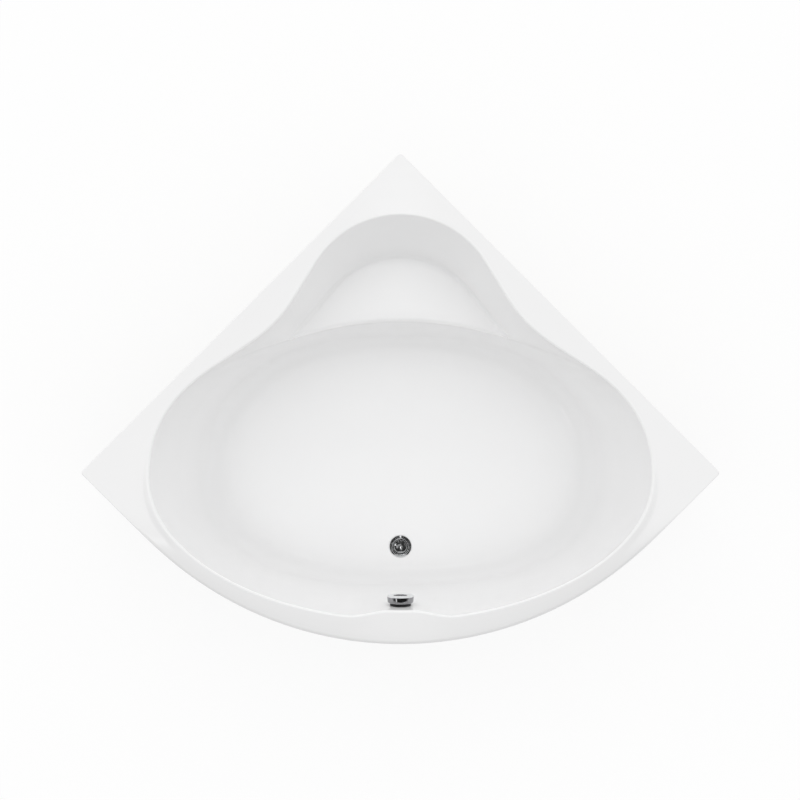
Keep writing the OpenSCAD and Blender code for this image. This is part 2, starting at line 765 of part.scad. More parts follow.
module lift_lever() {
    color("gold") {
        along_x(-20, lever_y, lever_z) cylinder(r = lever_r, h = crank_x + crank_t / 2 + 20);
        along_x(-4, waste_y, lever_z) cylinder(r = lever_r, h = 8);
        translate([-3, lever_y, lever_z - 2]) cube([6, lever_arm, 4]);
        translate([crank_x - crank_t / 2, lever_y - 3, lever_z]) cube([crank_t, 6, crank_h + 4]);
        along_x(crank_x - crank_t / 2, lever_y, lever_z) cylinder(r = 5, h = crank_t);
    }
}

// Trap, turned about the waste
module swung() {
    translate([0, waste_y, 0]) rotate([0, 0, -trap_swing]) translate([0, -waste_y, 0]) children();
}

module union_nut(h) {
    difference() {
        cylinder(r = bell_out_r + gap + nut_wall, h = h, $fn = 12);
        translate([0, 0, -1]) cylinder(r = bell_out_r + gap, h = h - 1);
        translate([0, 0, -1]) cylinder(r = bell_r, h = h + 2);
    }
}

module trap_inlet_nut() {
    color("gainsboro") at_waste(bell_top_z - bell_h + 4 + gap) union_nut(bell_h - 2);
}

module trap_outlet_nut() {
    color("gainsboro") swung() along_y(0, outlet_y + 4 + gap, outlet_z) union_nut(bell_h - 2);
}

// Turn of a pipe in the plane of +Y and +Z, round a centre, with the outline given as a child
module pipe_turn(y, z, r, from, to) {
    translate([0, y, z]) rotate([90, 0, 90]) rotate([0, 0, from])
        rotate_extrude(angle = to - from) translate([r, 0]) children();
}

module pipe_outline() {
    difference() {
        circle(pipe_r);
        circle(pipe_r - pipe_t);
    }
}

module trap_bend() {
    cup_r = 13;
    color("gainsboro") swung() difference() {
        union() {
            at_waste(trap_z + 3) ring(bell_out_r, bell_r, bell_h - 3);
            at_waste(trap_z) ring(bell_out_r, pipe_r - pipe_t, 3);
            pipe_turn(waste_y + trap_r, trap_z, trap_r, 180, 360) pipe_outline();
            pipe_turn(outlet_y, trap_z, outlet_bend_r, 90, 180) pipe_outline();
            along_y(0, outlet_y, outlet_z) ring(bell_out_r, pipe_r - pipe_t, 3);
            along_y(0, outlet_y + 3, outlet_z) ring(bell_out_r, bell_r, bell_h - 3);
            difference() {
                along_x(0, waste_y + trap_r, trap_z - trap_r) cylinder(r = cup_r, h = pipe_r + 8);
                pipe_turn(waste_y + trap_r, trap_z, trap_r, 180, 360) circle(pipe_r - 1);
            }
        }
        along_x(0, waste_y + trap_r, trap_z - trap_r) cylinder(r = cup_r - 3, h = pipe_r + 20);
    }
}

module cleanout_cap() {
    color("gainsboro") swung() along_x(pipe_r + 1.5, waste_y + trap_r, trap_z - trap_r) difference() {
        cylinder(r = 17, h = 10, $fn = 12);
        translate([0, 0, -1]) cylinder(r = 13 + gap, h = 7.5 + gap);
    }
}

module outlet_pipe() {
    bead = 5;
    color("gainsboro") swung() along_y(0, outlet_y + 3 + gap, outlet_z) difference() {
        union() {
            cylinder(r = pipe_r, h = outlet_len);
            translate([0, 0, outlet_len - spigot_len - bead]) cylinder(r = pipe_r + 2, h = bead);
        }
        translate([0, 0, -1]) cylinder(r = pipe_r - pipe_t, h = outlet_len + 2);
    }
}

// Overflow
module overflow_rosette() {
    seat = 0.6;
    low = -wall_n - 8;
    top = knob_gap - rosette_gap;
    out = rosette_r + 9;
    color("silver") at_overflow() difference() {
        union() {
            difference() {
                rotate_extrude() polygon([
                    [rosette_r - 3.5, low], [rosette_r, low], [rosette_r, seat], [out, seat],
                    [out, top - 1], [out - 1, top], [out - 3, top], [out - 3, seat + rosette_h],
                    [rosette_r - 2, seat + rosette_h], [rosette_r - 3.5, seat + 1.5]]);
                for (k = [-2:2]) rotate(90 + 32 * k)
                    translate([out - 5, -rosette_slot_w / 2, seat + rosette_h + 0.6])
                        cube([8, rosette_slot_w, knob_gap]);
            }
            translate([0, 0, low]) cylinder(r = spindle_r + 3.5, h = 10);
            for (k = [0:3]) rotate(90 * k + 45)
                translate([spindle_r + 1, -2, low]) cube([rosette_r - 2 - spindle_r, 4, 6]);
        }
        translate([0, 0, low - 1]) cylinder(r = spindle_r + pin_gap, h = 20);
    }
}

module overflow_gasket() {
    color("black") at_overflow() translate([0, 0, -wall_n - gasket_t])
        ring(chamber_r + 4, overflow_hole_d / 2, gasket_t);
}

module overflow_body() {
    top = -wall_n - gasket_t;
    color("whitesmoke") difference() {
        union() {
            at_overflow() translate([0, 0, chamber_z]) cylinder(r = chamber_r, h = chamber_h);
            at_overflow() translate([0, 0, top - 4]) cylinder(r = chamber_r + 5, h = 4);
            translate([0, nipple_y, hose_top_z - nipple_len])
                cylinder(r = nipple_r, h = nipple_len + chamber_r);
            translate([cable_x - 6, cable_top_y - 7, hose_top_z - 1]) cube([12, 18, 14]);
        }
        at_overflow() translate([0, 0, chamber_z + chamber_wall])
            cylinder(r = chamber_r - chamber_wall, h = chamber_h);
        at_overflow() translate([0, 0, chamber_z - 1]) cylinder(r = spindle_r + pin_gap, h = 10);
        translate([0, nipple_y, hose_top_z - nipple_len - 1])
            cylinder(r = nipple_bore_r, h = nipple_len + chamber_r);
        translate([cable_x, cable_top_y, hose_top_z - 2]) cylinder(r = cable_r + gap, h = 8);
    }
}

module overflow_knob() {
    wall = 3;
    front = knob_gap + knob_t;
    back_r = knob_r - knob_taper;
    color("silver") at_overflow() difference() {
        union() {
            difference() {
                rotate_extrude() polygon([
                    [0, knob_gap], [back_r - 1, knob_gap], [back_r, knob_gap + 1],
                    for (s = [0:4]) [knob_r - 5 * (1 - cos(s * 22.5)), front - 6 + 5 * sin(s * 22.5)],
                    [0, front]]);
                translate([0, 0, knob_gap - 1])
                    cylinder(r1 = back_r - wall, r2 = knob_r - wall - 1, h = knob_t - wall);
            }
            translate([0, 0, knob_gap]) cylinder(r = spindle_r + 5, h = knob_t - 2);
        }
        translate([0, 0, knob_gap - 1]) cylinder(r = spindle_r + gap, h = knob_t - 5);
    }
}

module knob_spindle() {
    back = chamber_z - gap;
    color("silver") at_overflow() {
        translate([0, 0, back - 6]) cylinder(r = spindle_r, h = 6 - back + knob_gap + knob_t - 7);
        translate([-3, -3, back - 5]) cube([crank_arm + 6, 6, 5]);
    }
}

// Ribbed hose: straight down from the overflow, a quarter turn, and level to the waste body
hose_down = hose_top_z - hose_low_z - hose_bend_r;
hose_turn = hose_bend_r * PI / 2;
hose_level = hose_end_y - nipple_y - hose_bend_r;
hose_len = hose_down + hose_turn + hose_level;
hose_cuff = 22;
hose_sides = 8;
rib_count = floor((hose_len - 2 * hose_cuff) / rib_pitch);
flat_k = 1 / cos(180 / hose_sides);

// Turned angle at a length along the hose, and the point there
function hose_angle(s) = clamp((s - hose_down) / hose_turn, 0, 1) * 90;
function hose_at(s) =
    let (t = hose_angle(s))
    [nipple_y + hose_bend_r * (1 - cos(t)) + max(s - hose_down - hose_turn, 0),
     hose_top_z - min(s, hose_down) - hose_bend_r * sin(t)];
function hose_ring(s, r) =
    let (t = hose_angle(s), p = hose_at(s))
    [for (k = [0:hose_sides - 1]) let (c = (k + 0.5) * 360 / hose_sides, v = r * sin(c))
        [r * cos(c), p[0] + v * cos(t), p[1] + v * sin(t)]];

// Closed surface through rings that run out along the outside and back along the bore
module hollow_skin(rings) {
    n = len(rings[0]);
    m = len(rings);
    points = [for (ring = rings) each ring];
    faces = [for (i = [0:m - 1], k = [0:n - 1], h = [0, 1])
        let (p = i * n, q = ((i + 1) % m) * n, k2 = (k + 1) % n)
        h == 0 ? [p + k, p + k2, q + k2] : [p + k, q + k2, q + k]];
    polyhedron(points, faces);
}

module overflow_hose() {
    crest = hose_d / 2;
    valley = crest - rib_h;
    bore = hose_bore_d / 2 * flat_k;
    start = (hose_len - rib_count * rib_pitch) / 2;
    turns = 8;
    outside = concat([0],
        [for (i = [0:rib_count - 1], h = [0, 0.5]) start + (i + h) * rib_pitch],
        [start + rib_count * rib_pitch, hose_len]);
    inside = concat([hose_len], [for (j = [turns:-1:0]) hose_down + hose_turn * j / turns], [0]);
    color("lightgray") hollow_skin(concat(
        [for (i = [0:len(outside) - 1])
            hose_ring(outside[i], i > 0 && i < len(outside) - 1 && i % 2 == 0 ? valley : crest)],
        [for (s = inside) hose_ring(s, bore)]));
}

module hose_nuts() {
    r = hose_d / 2 + gap;
    color("gainsboro") {
        translate([0, nipple_y, hose_top_z - hose_nut_h - 2]) ring(r + nut_wall, r, hose_nut_h);
        along_y(0, hose_end_y - hose_nut_h - 2, hose_low_z) ring(r + nut_wall, r, hose_nut_h);
    }
}

// Control cable from the knob's crank to the lift lever, beside the hose
cable_route = [
    [cable_x, cable_top_y, hose_top_z + 5], [cable_x, cable_top_y, hose_top_z - 25],
    [cable_x + 8, cable_top_y + 4, hose_top_z - 80], [cable_x + 12, cable_top_y + 6, hose_top_z - 140],
    [cable_x + 14, cable_top_y + 8, hose_top_z - 200], [cable_x + 15, cable_top_y + 12, anchor_z + 110],
    [cable_x + 16, cable_top_y + 22, anchor_z + 70], [cable_x + 17, cable_top_y + 42, anchor_z + 34],
    [cable_x + 18, cable_top_y + 72, anchor_z + 12], [crank_x - 1, cable_top_y + 108, anchor_z + 2],
    [crank_x, anchor_y - 28, anchor_z], [crank_x, anchor_y - 14, anchor_z], [crank_x, anchor_y, anchor_z]];
cable_sides = 8;
cable_steps = 3;

// Smooth curve through the route: a point between points i and i + 1, and its direction
function route_point(i) = cable_route[clamp(i, 0, len(cable_route) - 1)];
function cable_at(i, t) =
    let (p0 = route_point(i - 1), p1 = route_point(i), p2 = route_point(i + 1), p3 = route_point(i + 2))
    0.5 * (2 * p1 + (p2 - p0) * t + (2 * p0 - 5 * p1 + 4 * p2 - p3) * t * t
        + (3 * p1 - p0 - 3 * p2 + p3) * t * t * t);
function unit(v) = v / norm(v);

module control_cable() {
    line = [for (i = [0:len(cable_route) - 2], j = [0:cable_steps - 1]) cable_at(i, j / cable_steps),
            cable_route[len(cable_route) - 1]];
    last = len(line) - 1;
    rings = [for (i = [0:last])
        let (d = unit(i == 0 ? [0, 0, -1] : i == last ? [0, 1, 0] : line[i + 1] - line[i - 1]),
             u = unit(cross([1, 0, 0], d)), v = cross(d, u))
        [for (k = [0:cable_sides - 1]) let (c = 360 * k / cable_sides)
            line[i] + cable_r * (cos(c) * u + sin(c) * v)]];
    color("black") ring_skin([for (ring = rings) [for (k = [cable_sides - 1:-1:0]) ring[k]]],
        line[0], line[last]);
}

// Plan of the rim's outer edge, drawn in by an inset: straight sides, then the arc that they touch
arc_step = 1.5;
module rim_plan(inset) {
    r = front_r - inset;
    h = half_diag - inset * sqrt(2);
    polygon([[-h, mid_y], for (t = [225:arc_step:315]) [r * cos(t), arc_y + r * sin(t)],
             [h, mid_y], [0, mid_y + h]]);
}

// Apron: a bowed sheet with flanges along its upper and lower edge
apron_z = skirt_z - apron_top_gap;
apron_end = 20;

module front_apron() {
    h = apron_z - apron_gap;
    color("white") translate([0, 0, apron_gap]) difference() {
        linear_extrude(h) difference() {
            rim_plan(apron_in);
            rim_plan(apron_in + apron_t + apron_flange);
            translate([-side_len, mid_y - apron_end]) square(2 * side_len);
        }
        translate([0, 0, apron_t]) linear_extrude(h - 2 * apron_t) rim_plan(apron_in + apron_t);
    }
}

module apron_tongues() {
    back_y = front_post_y - post_w / 2 - 3 - gap;
    color("gainsboro") for (p = clip_places) intersection() {
        translate([p[0] - 8, back_y - 60, p[1] - tongue_t / 2]) cube([16, 60, tongue_t]);
        translate([0, 0, p[1] - tongue_t]) linear_extrude(2 * tongue_t) rim_plan(apron_in + apron_t);
    }
}

module apron_clips() {
    face_y = front_post_y - post_w / 2;
    color("black") for (p = clip_places) translate([p[0], face_y, p[1]]) difference() {
        translate([-10, -clip_d, -clip_h / 2]) cube([20, clip_d, clip_h]);
        translate([-11, -clip_d - 1, -tongue_t / 2 - gap]) cube([22, clip_d - 2, tongue_t + 2 * gap]);
    }
}

tub_shell();
base_board();
side_rail();
back_rail();
front_rail(-1);  // front_rail_left
front_rail(1);  // front_rail_right
for (i = [0:4]) rim_post(post_places[i]);
rim_pads();
rail_end_caps();
leg_sockets();
board_screws();
for (i = [0:4]) leg_screw(leg_places[i]);
for (i = [0:4]) lock_nut(leg_places[i]);
for (i = [0:4]) foot_pad(leg_places[i]);
for (i = [0:3]) wall_bracket(bracket_places[i]);
waste_flange();
flange_gasket();
floor_gasket();
waste_body();
plug_cap();
plug_seal();
plug_stem();
lift_lever();
trap_inlet_nut();
trap_bend();
cleanout_cap();
trap_outlet_nut();
outlet_pipe();
overflow_rosette();
overflow_gasket();
overflow_body();
overflow_knob();
knob_spindle();
overflow_hose();
hose_nuts();
control_cable();
front_apron();
apron_tongues();
apron_clips();
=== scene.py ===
"""Corner bathtub: the moulded shell, its fittings, frame and legs, dressed over the packed model.

Lengths are in metres, in the packed model's frame: the origin lies on the room's floor under
the middle of the plan, and +Y points into the room corner.
"""
from math import atan, atan2, cos, degrees, floor, pi, radians, sin, sqrt, tan

import bpy
from bpy.props import FloatProperty, FloatVectorProperty, IntProperty, PointerProperty
from bpy.types import Operator, Panel, PropertyGroup
from mathutils import Matrix, Vector


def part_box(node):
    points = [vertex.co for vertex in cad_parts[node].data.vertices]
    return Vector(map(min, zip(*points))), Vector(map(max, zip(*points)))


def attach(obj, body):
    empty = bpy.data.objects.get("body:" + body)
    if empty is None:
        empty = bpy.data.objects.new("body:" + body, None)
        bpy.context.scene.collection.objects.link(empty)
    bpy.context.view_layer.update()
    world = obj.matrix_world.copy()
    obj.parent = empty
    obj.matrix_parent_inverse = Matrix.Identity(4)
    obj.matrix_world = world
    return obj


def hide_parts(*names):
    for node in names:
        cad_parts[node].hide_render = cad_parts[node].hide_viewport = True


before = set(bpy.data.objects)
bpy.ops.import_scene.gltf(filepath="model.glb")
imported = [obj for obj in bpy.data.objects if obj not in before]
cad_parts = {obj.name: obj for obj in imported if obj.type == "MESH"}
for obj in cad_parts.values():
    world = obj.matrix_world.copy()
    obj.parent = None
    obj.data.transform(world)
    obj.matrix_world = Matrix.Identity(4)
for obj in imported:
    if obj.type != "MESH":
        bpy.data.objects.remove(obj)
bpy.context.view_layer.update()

bl_info = {
    "name": "Corner Bathtub",
    "version": (1, 0, 0),
    "blender": (4, 5, 0),
    "location": "3D View > Sidebar > Bath",
    "description": "Makes the shell, fittings, frame and stage of a corner bathtub",
    "category": "Add Mesh",
}

PLACES = ("left", "right", "back", "front_left", "front_right")


# Kinds of setting

def number(unit="NONE", **more):
    """Makes a kind of setting with its unit and limits"""
    def setting(name, description, default):
        return FloatProperty(name=name, description=description, default=default, unit=unit, **more)
    return setting


length = number("LENGTH", min=0.0, precision=4)
offset = number("LENGTH", precision=4)
strength = number(min=0.0)
share = number(min=0.0, max=1.0, subtype="FACTOR")


def angle(name, description, default):
    return number("ROTATION")(name, description, radians(default))


def count(name, description, default):
    return IntProperty(name=name, description=description, default=default, min=3)


def colour(name, description, default):
    return FloatVectorProperty(name=name, description=description, default=default, size=3,
                               min=0.0, max=1.0, subtype="COLOR")


class BathShellSizes(PropertyGroup):
    """Sizes of the moulded shell"""
    wall_side: length("Wall side", "Length of each side against a wall", 1.4)
    front_radius: length("Front radius", "Radius of the bowed front", 1.108)
    rim_height: length("Rim height", "Rim above the floor of the room", 0.6)
    edge_height: length("Edge height", "Height of the turned-down edge", 0.04)
    sheet: length("Sheet", "Thickness of the sheet", 0.006)
    corner_radius: length("Corner radius", "Rounding of the upright corners", 0.01)
    rim_side: length("Side rim", "Basin to the left or right corner", 0.213)
    rim_front: length("Front rim", "Rim at the middle of the front", 0.083)
    rim_back: length("Back rim", "Seat to the room corner", 0.192)
    basin_back: length("Basin back", "Room corner to the basin's oval", 0.53)
    lip: length("Lip", "Height of the front lip", 0.016)
    inner_edge: length("Inner edge", "Rounding of the rim's inner edge", 0.007)
    front_edge: length("Front edge", "Rounding of the outer front edge", 0.012)
    front_turn: length("Front turn", "Width of the strip that turns down", 0.0095)
    turn_drop: length("Turn drop", "How far the strip turns down", 0.0065)
    wall_edge: length("Wall edge", "Rounding of the edges at the walls", 0.003)
    bulge: length("Bulge", "Bulge of the rim over the overflow", 0.025)
    bulge_flat: length("Bulge flat", "Half width of the bulge's middle", 0.036)
    bulge_half: length("Bulge half", "Half width of the whole bulge", 0.172)
    depth: length("Depth", "Basin below the rim", 0.43)
    side_run: length("Side run", "Lean of the side walls", 0.172)
    front_run: length("Front run", "Lean of the front wall", 0.088)
    riser_run: length("Riser run", "Lean of the seat's riser", 0.043)
    fillet: length("Fillet", "Radius between floor and wall", 0.06)
    fillet_extra: length("Side fillet", "Extra radius at the sides", 0.05)
    fall: share("Fall", "Fall of the floor towards the waste", 0.012)
    seat_depth: length("Seat depth", "Seat below the rim", 0.215)
    seat_radius: length("Seat radius", "Radius of the seat's back", 0.308)
    seat_run: length("Seat run", "Lean of the seat's back", 0.119)
    seat_taper: length("Seat taper", "How much smaller it is at the seat", 0.034)
    flank_top: angle("Upper flank", "Slant of the flanks at the rim", 31.6)
    flank_low: angle("Lower flank", "Slant of the flanks at the seat", 40.0)
    blend: length("Blend", "Blend between seat and oval", 0.118)
    seat_edge: length("Seat edge", "Rounding of the seat's front edge", 0.012)
    seat_fillet: length("Seat fillet", "Radius between seat and back", 0.014)
    waste_in: length("Waste inset", "Front edge to the waste", 0.282)
    waste_hole: length("Waste hole", "Diameter of the waste's hole", 0.052)
    waste_recess: length("Waste recess", "Diameter of the flange's recess", 0.074)
    recess_depth: length("Recess depth", "Depth of the flange's recess", 0.0025)
    overflow_drop: length("Overflow drop", "Overflow below the rim", 0.07)
    overflow_hole: length("Overflow hole", "Diameter of the overflow hole", 0.05)
    rays: count("Rays", "Sections round the shell", 288)


class BathFittingSizes(PropertyGroup):
    """Sizes of the fittings, legs and apron"""
    thread_pitch: length("Thread pitch", "Pitch of the legs' thread", 0.00175)
    thread_depth: length("Thread depth", "Depth of the legs' thread", 0.0009)
    hose_sides: count("Hose sides", "Corners round the hose", 28)
    rib_steps: count("Rib steps", "Rings for each rib", 6)
    cable_sides: count("Cable sides", "Corners round the cable", 14)
    flange: length("Flange", "Diameter of the flange", 0.07)
    plug: length("Plug", "Diameter of the plug", 0.044)
    knob: length("Knob", "Diameter of the knob", 0.084)
    knob_thick: length("Knob thickness", "Thickness of the knob", 0.024)
    knob_gap: length("Knob gap", "Gap between knob and wall", 0.009)
    knob_taper: length("Knob taper", "Smaller radius at the knob's back", 0.005)
    apron_bend: length("Apron bend", "Rounding of the apron's edges", 0.003)


class BathColours(PropertyGroup):
    """Colours and gloss of the finishes"""
    acrylic: colour("Acrylic", "Moulded sheet", (0.96, 0.96, 0.961))
    laminate: colour("Laminate", "Glass-fibre backing", (0.66, 0.64, 0.54))
    board: colour("Board", "Chipboard under the floor", (0.50, 0.35, 0.20))
    frame_paint: colour("Frame paint", "Powder coat of rails and posts", (0.055, 0.057, 0.06))
    zinc: colour("Zinc", "Plated legs, nuts and brackets", (0.62, 0.63, 0.64))
    chrome: colour("Chrome", "Plug, flange and the knob's face", (0.78, 0.79, 0.80))
    # Darker copy of the chrome for the knob's side: painted shade, not a finish of its own
    shade_painted_chrome: colour("Chrome with painted shade", "Side of the knob", (0.33, 0.33, 0.34))
    # Near-black ring behind the knob: painted shade of the gap between knob and wall
    painted_shade_black: colour("Black for painted shade", "Ring behind the knob", (0.035, 0.035, 0.037))
    brass: colour("Brass", "Stem, spindle and lever", (0.70, 0.50, 0.20))
    rubber: colour("Rubber", "Seals, gaskets and pads", (0.025, 0.025, 0.026))
    black_plastic: colour("Black plastic", "Foot pads, caps and clips", (0.03, 0.03, 0.032))
    white_plastic: colour("White plastic", "Trap, nuts and bodies", (0.72, 0.73, 0.73))
    hose: colour("Hose", "Ribbed overflow hose", (0.55, 0.57, 0.58))
    gloss: share("Acrylic gloss", "Roughness of the acrylic", 0.12)


class BathStage(PropertyGroup):
    """Light, floor and camera"""
    light_high: strength("Bright side", "Light from above the room corner", 1.23)
    light_low: strength("Dim side", "Light from low in front", 0.24)
    light_lean: angle("Light's lean", "Lean towards the room corner", 30.0)
    floor_white: share("Floor white", "How much shadow it hides", 0.85)
    floor_bounce: share("Floor bounce", "How much light it throws back", 0.55)
    eye_height: length("Eye height", "Camera above the floor", 9.6)
    eye_x: offset("Eye X", "Camera to the left or right", -0.0015)
    eye_y: offset("Eye Y", "Camera to the front or back", -0.0044)
    view_width: length("View width", "Width of the view at rim height", 2.4732)


# Shader expressions

def by_node(operation, swapped=False):
    """Makes a method of Term that adds a Math node"""
    def joined(self, other):
        return self.finish.maths(operation, *((other, self) if swapped else (self, other)))
    return joined


class Term:
    """Output of a shader node, for use in ordinary expressions"""

    def __init__(self, finish, socket):
        self.finish = finish
        self.socket = socket

    __add__ = __radd__ = by_node("ADD")
    __sub__ = by_node("SUBTRACT")
    __rsub__ = by_node("SUBTRACT", swapped=True)
    __mul__ = __rmul__ = by_node("MULTIPLY")
    __gt__ = by_node("GREATER_THAN")
    __lt__ = by_node("LESS_THAN")

    def __abs__(self):
        return self.finish.maths("ABSOLUTE", self, 0.0)


class Finish:
    """Nodes of one material or of the world"""

    def __init__(self, tree):
        self.tree = tree
        tree.nodes.clear()

    def node(self, kind, inputs=None, out=0, **settings):
        made = self.tree.nodes.new("ShaderNode" + kind)
        for name, value in settings.items():
            setattr(made, name, value)
        for key, value in (inputs or {}).items():
            socket = made.inputs[key]
            if isinstance(value, Term):
                self.tree.links.new(value.socket, socket)
            elif hasattr(value, "__len__") and len(value) < len(socket.default_value):
                socket.default_value = (*value, 1.0)
            else:
                socket.default_value = value
        return Term(self, made.outputs[out]) if len(made.outputs) else None

    def maths(self, operation, a, b):
        return self.node("Math", {0: a, 1: b}, operation=operation)

    def place(self, kind="Object"):
        return self.node("TexCoord", out=kind)

    def along(self, place, axis):
        return self.node("SeparateXYZ", {0: place}, axis)

    def turned(self, place, turn, scale):
        return self.node("Mapping", {"Vector": place, "Rotation": turn, "Scale": scale})

    def noise(self, place, scale, detail=2.0, rough=0.5):
        return self.node("TexNoise", {"Vector": place, "Scale": scale, "Detail": detail, "Roughness": rough})

    def cells(self, place, scale, out="Distance"):
        return self.node("TexVoronoi", {"Vector": place, "Scale": scale}, out)

    def flakes(self, place, scale):
        """One level of grey for each cell"""
        return self.node("RGBToBW", {"Color": self.cells(place, scale, "Color")})

    def ramp(self, value, low, high):
        return self.node("MapRange", {"Value": value, "From Min": low, "From Max": high})

    def mixed(self, factor, a, b):
        return self.node("Mix", {0: factor, 6: a, 7: b}, 2, data_type="RGBA")

    def shades(self, factor, tone, first, second):
        """A colour that varies between two brightnesses"""
        return self.mixed(factor, scaled(tone, first), scaled(tone, second))

    def glow(self, level, kind="Emission"):
        return self.node(kind, {"Color": (1.0, 1.0, 1.0), "Strength": level})

    def either(self, factor, first, second):
        return self.node("MixShader", {0: factor, 1: first, 2: second})

    def surface(self, shader):
        self.node("OutputMaterial", {"Surface": shader})

    def smooth_coat(self, tone, rough, **more):
        self.surface(self.node("BsdfPrincipled", {"Base Color": tone, "Roughness": rough, **more}))

    def coat(self, tone, rough, height, strength, depth, **more):
        """Surface with a fine relief"""
        relief = self.node("Bump", {"Height": height, "Strength": strength, "Distance": depth})
        self.smooth_coat(tone, rough, Normal=relief, **more)


def scaled(tone, k):
    return tuple(min(1.0, c * k) for c in tone)


def new_material(name):
    made = bpy.data.materials.new(name)
    made.use_nodes = True
    return made, Finish(made.node_tree)


def made_finish(maker):
    """Makes a finish once and then hands out its material"""
    def once():
        made = bpy.data.materials.get(maker.__name__)
        if made is None:
            made, f = new_material(maker.__name__)
            maker(f, f.place(), bpy.context.scene.bath_colours)
        return made
    return once


@made_finish
def gloss_acrylic(f, place, colours):
    cloud = f.noise(place, 3.0, 3.0)
    smear = f.noise(f.turned(place, (0.0, 0.0, 0.6), (4.0, 14.0, 6.0)), 2.0, 4.0, 0.6)
    skin = f.noise(place, 160.0, 1.0)
    f.coat(f.shades(cloud, colours.acrylic, 0.992, 1.006),
           f.ramp(smear, 0.35, 0.8) * 0.08 + colours.gloss, skin, 0.03, 0.0006, IOR=1.49)


@made_finish
def glass_fibre(f, place, colours):
    strands = None
    for turn in (0.2, 1.3, 2.4):
        lay = f.noise(f.turned(place, (turn, turn * 0.7, turn), (16.0, 150.0, 150.0)), 1.0)
        thread = abs(lay - 0.5) * 8.0
        strands = thread if strands is None else f.maths("MINIMUM", strands, thread)
    wet = f.noise(place, 11.0, 3.0)
    tone = f.shades(f.ramp(strands, 0.0, 1.0), colours.laminate, 1.22, 1.0)
    tone = f.mixed(f.ramp(wet, 0.4, 0.7) * 0.35, tone, scaled(colours.laminate, 0.72))
    f.coat(tone, f.ramp(wet, 0.3, 0.7) * 0.25 + 0.4, strands * -0.5 + wet * 1.5, 0.7, 0.0015)


@made_finish
def chipboard(f, place, colours):
    chip = f.flakes(f.turned(place, (0.3, 0.2, 0.5), (1.0, 0.55, 1.0)), 260.0)
    dust, patch = f.noise(place, 900.0), f.noise(place, 14.0)
    tone = f.shades(f.ramp(chip, 0.2, 0.8), colours.board, 0.6, 1.45)
    tone = f.mixed(patch * 0.3, tone, scaled(colours.board, 0.85))
    f.coat(tone, chip * 0.15 + 0.75, chip + dust * 0.4, 0.35, 0.0006)


@made_finish
def powder_coat(f, place, colours):
    peel, rub = f.noise(place, 700.0), f.noise(place, 18.0, 4.0, 0.7)
    f.coat(f.shades(f.ramp(rub, 0.45, 0.8), colours.frame_paint, 1.0, 1.5),
           f.ramp(rub, 0.3, 0.8) * 0.2 + 0.34, peel, 0.25, 0.0004)


@made_finish
def zinc_plate(f, place, colours):
    spangle, haze = f.flakes(place, 420.0), f.noise(place, 60.0, 3.0)
    f.coat(f.shades(spangle * 0.5 + haze * 0.5, colours.zinc, 0.82, 1.12),
           spangle * 0.14 + haze * 0.2 + 0.2, haze, 0.08, 0.0003, Metallic=1.0)


def plated(f, place, tone):
    film = f.noise(place, 45.0, 4.0, 0.6)
    spots = f.ramp(f.cells(place, 150.0), 0.05, 0.09)
    f.smooth_coat(f.shades(film, tone, 0.96, 1.03),
                  f.ramp(film, 0.4, 0.8) * 0.05 + (1.0 - spots) * 0.03 + 0.035, Metallic=1.0)


@made_finish
def chrome_plate(f, place, colours):
    plated(f, place, colours.chrome)


# Chrome darkened for the knob's side: painted shade
@made_finish
def shade_painted_chrome(f, place, colours):
    plated(f, place, colours.shade_painted_chrome)


# Near-black plating for the ring behind the knob: painted shade of the gap under the knob
@made_finish
def painted_shade_black(f, place, colours):
    plated(f, place, colours.painted_shade_black)


@made_finish
def plain_brass(f, place, colours):
    haze = f.noise(place, 90.0, 4.0)
    f.coat(f.shades(haze, colours.brass, 0.8, 1.15), haze * 0.25 + 0.2, haze, 0.06, 0.0002,
           Metallic=1.0)


@made_finish
def black_rubber(f, place, colours):
    grain, bloom = f.noise(place, 600.0), f.noise(place, 25.0, 3.0)
    f.coat(f.shades(f.ramp(bloom, 0.4, 0.8), colours.rubber, 1.0, 1.9), bloom * 0.2 + 0.6,
           grain, 0.2, 0.0003)


@made_finish
def black_plastic(f, place, colours):
    grain, wear = f.cells(place, 900.0), f.noise(place, 30.0, 4.0, 0.6)
    f.coat(f.shades(f.ramp(wear, 0.5, 0.8), colours.black_plastic, 1.0, 2.0), wear * 0.2 + 0.35,
           grain, 0.15, 0.0003)


@made_finish
def white_plastic(f, place, colours):
    flow = f.noise(f.turned(place, (0.0, 0.4, 0.0), (1.0, 1.0, 3.0)), 16.0, 3.0)
    grain = f.noise(place, 800.0, 1.0)
    f.coat(f.shades(flow, colours.white_plastic, 0.95, 1.04), flow * 0.15 + 0.28,
           grain, 0.06, 0.0003)


@made_finish
def hose_plastic(f, place, colours):
    flow = f.noise(place, 30.0, 3.0)
    f.coat(f.shades(flow, colours.hose, 0.9, 1.1), flow * 0.2 + 0.3, flow, 0.1, 0.0005)


# Meshes

ACROSS, BACK = Vector((1, 0, 0)), Vector((0, 1, 0))


def clamp(v, low, high):
    return max(low, min(high, v))


def mix(p, q, t):
    return p + (q - p) * t


def spaced(p, q, steps, first=1):
    """Even steps from p to q, without p itself unless first is 0"""
    return [mix(p, q, j / steps) for j in range(first, steps + 1)]


def ease(t):
    u = clamp(t, 0.0, 1.0)
    return u * u * (3 - 2 * u)


def placed(name, mesh, place=None):
    """Puts a mesh or a camera in the scene"""
    made = bpy.data.objects.new(name, mesh)
    if place is not None:
        made.matrix_world = place
    bpy.context.collection.objects.link(made)
    return made


def new_mesh(name, points, faces):
    mesh = bpy.data.meshes.new(name)
    mesh.from_pydata([tuple(p) for p in points], [], faces)
    return mesh


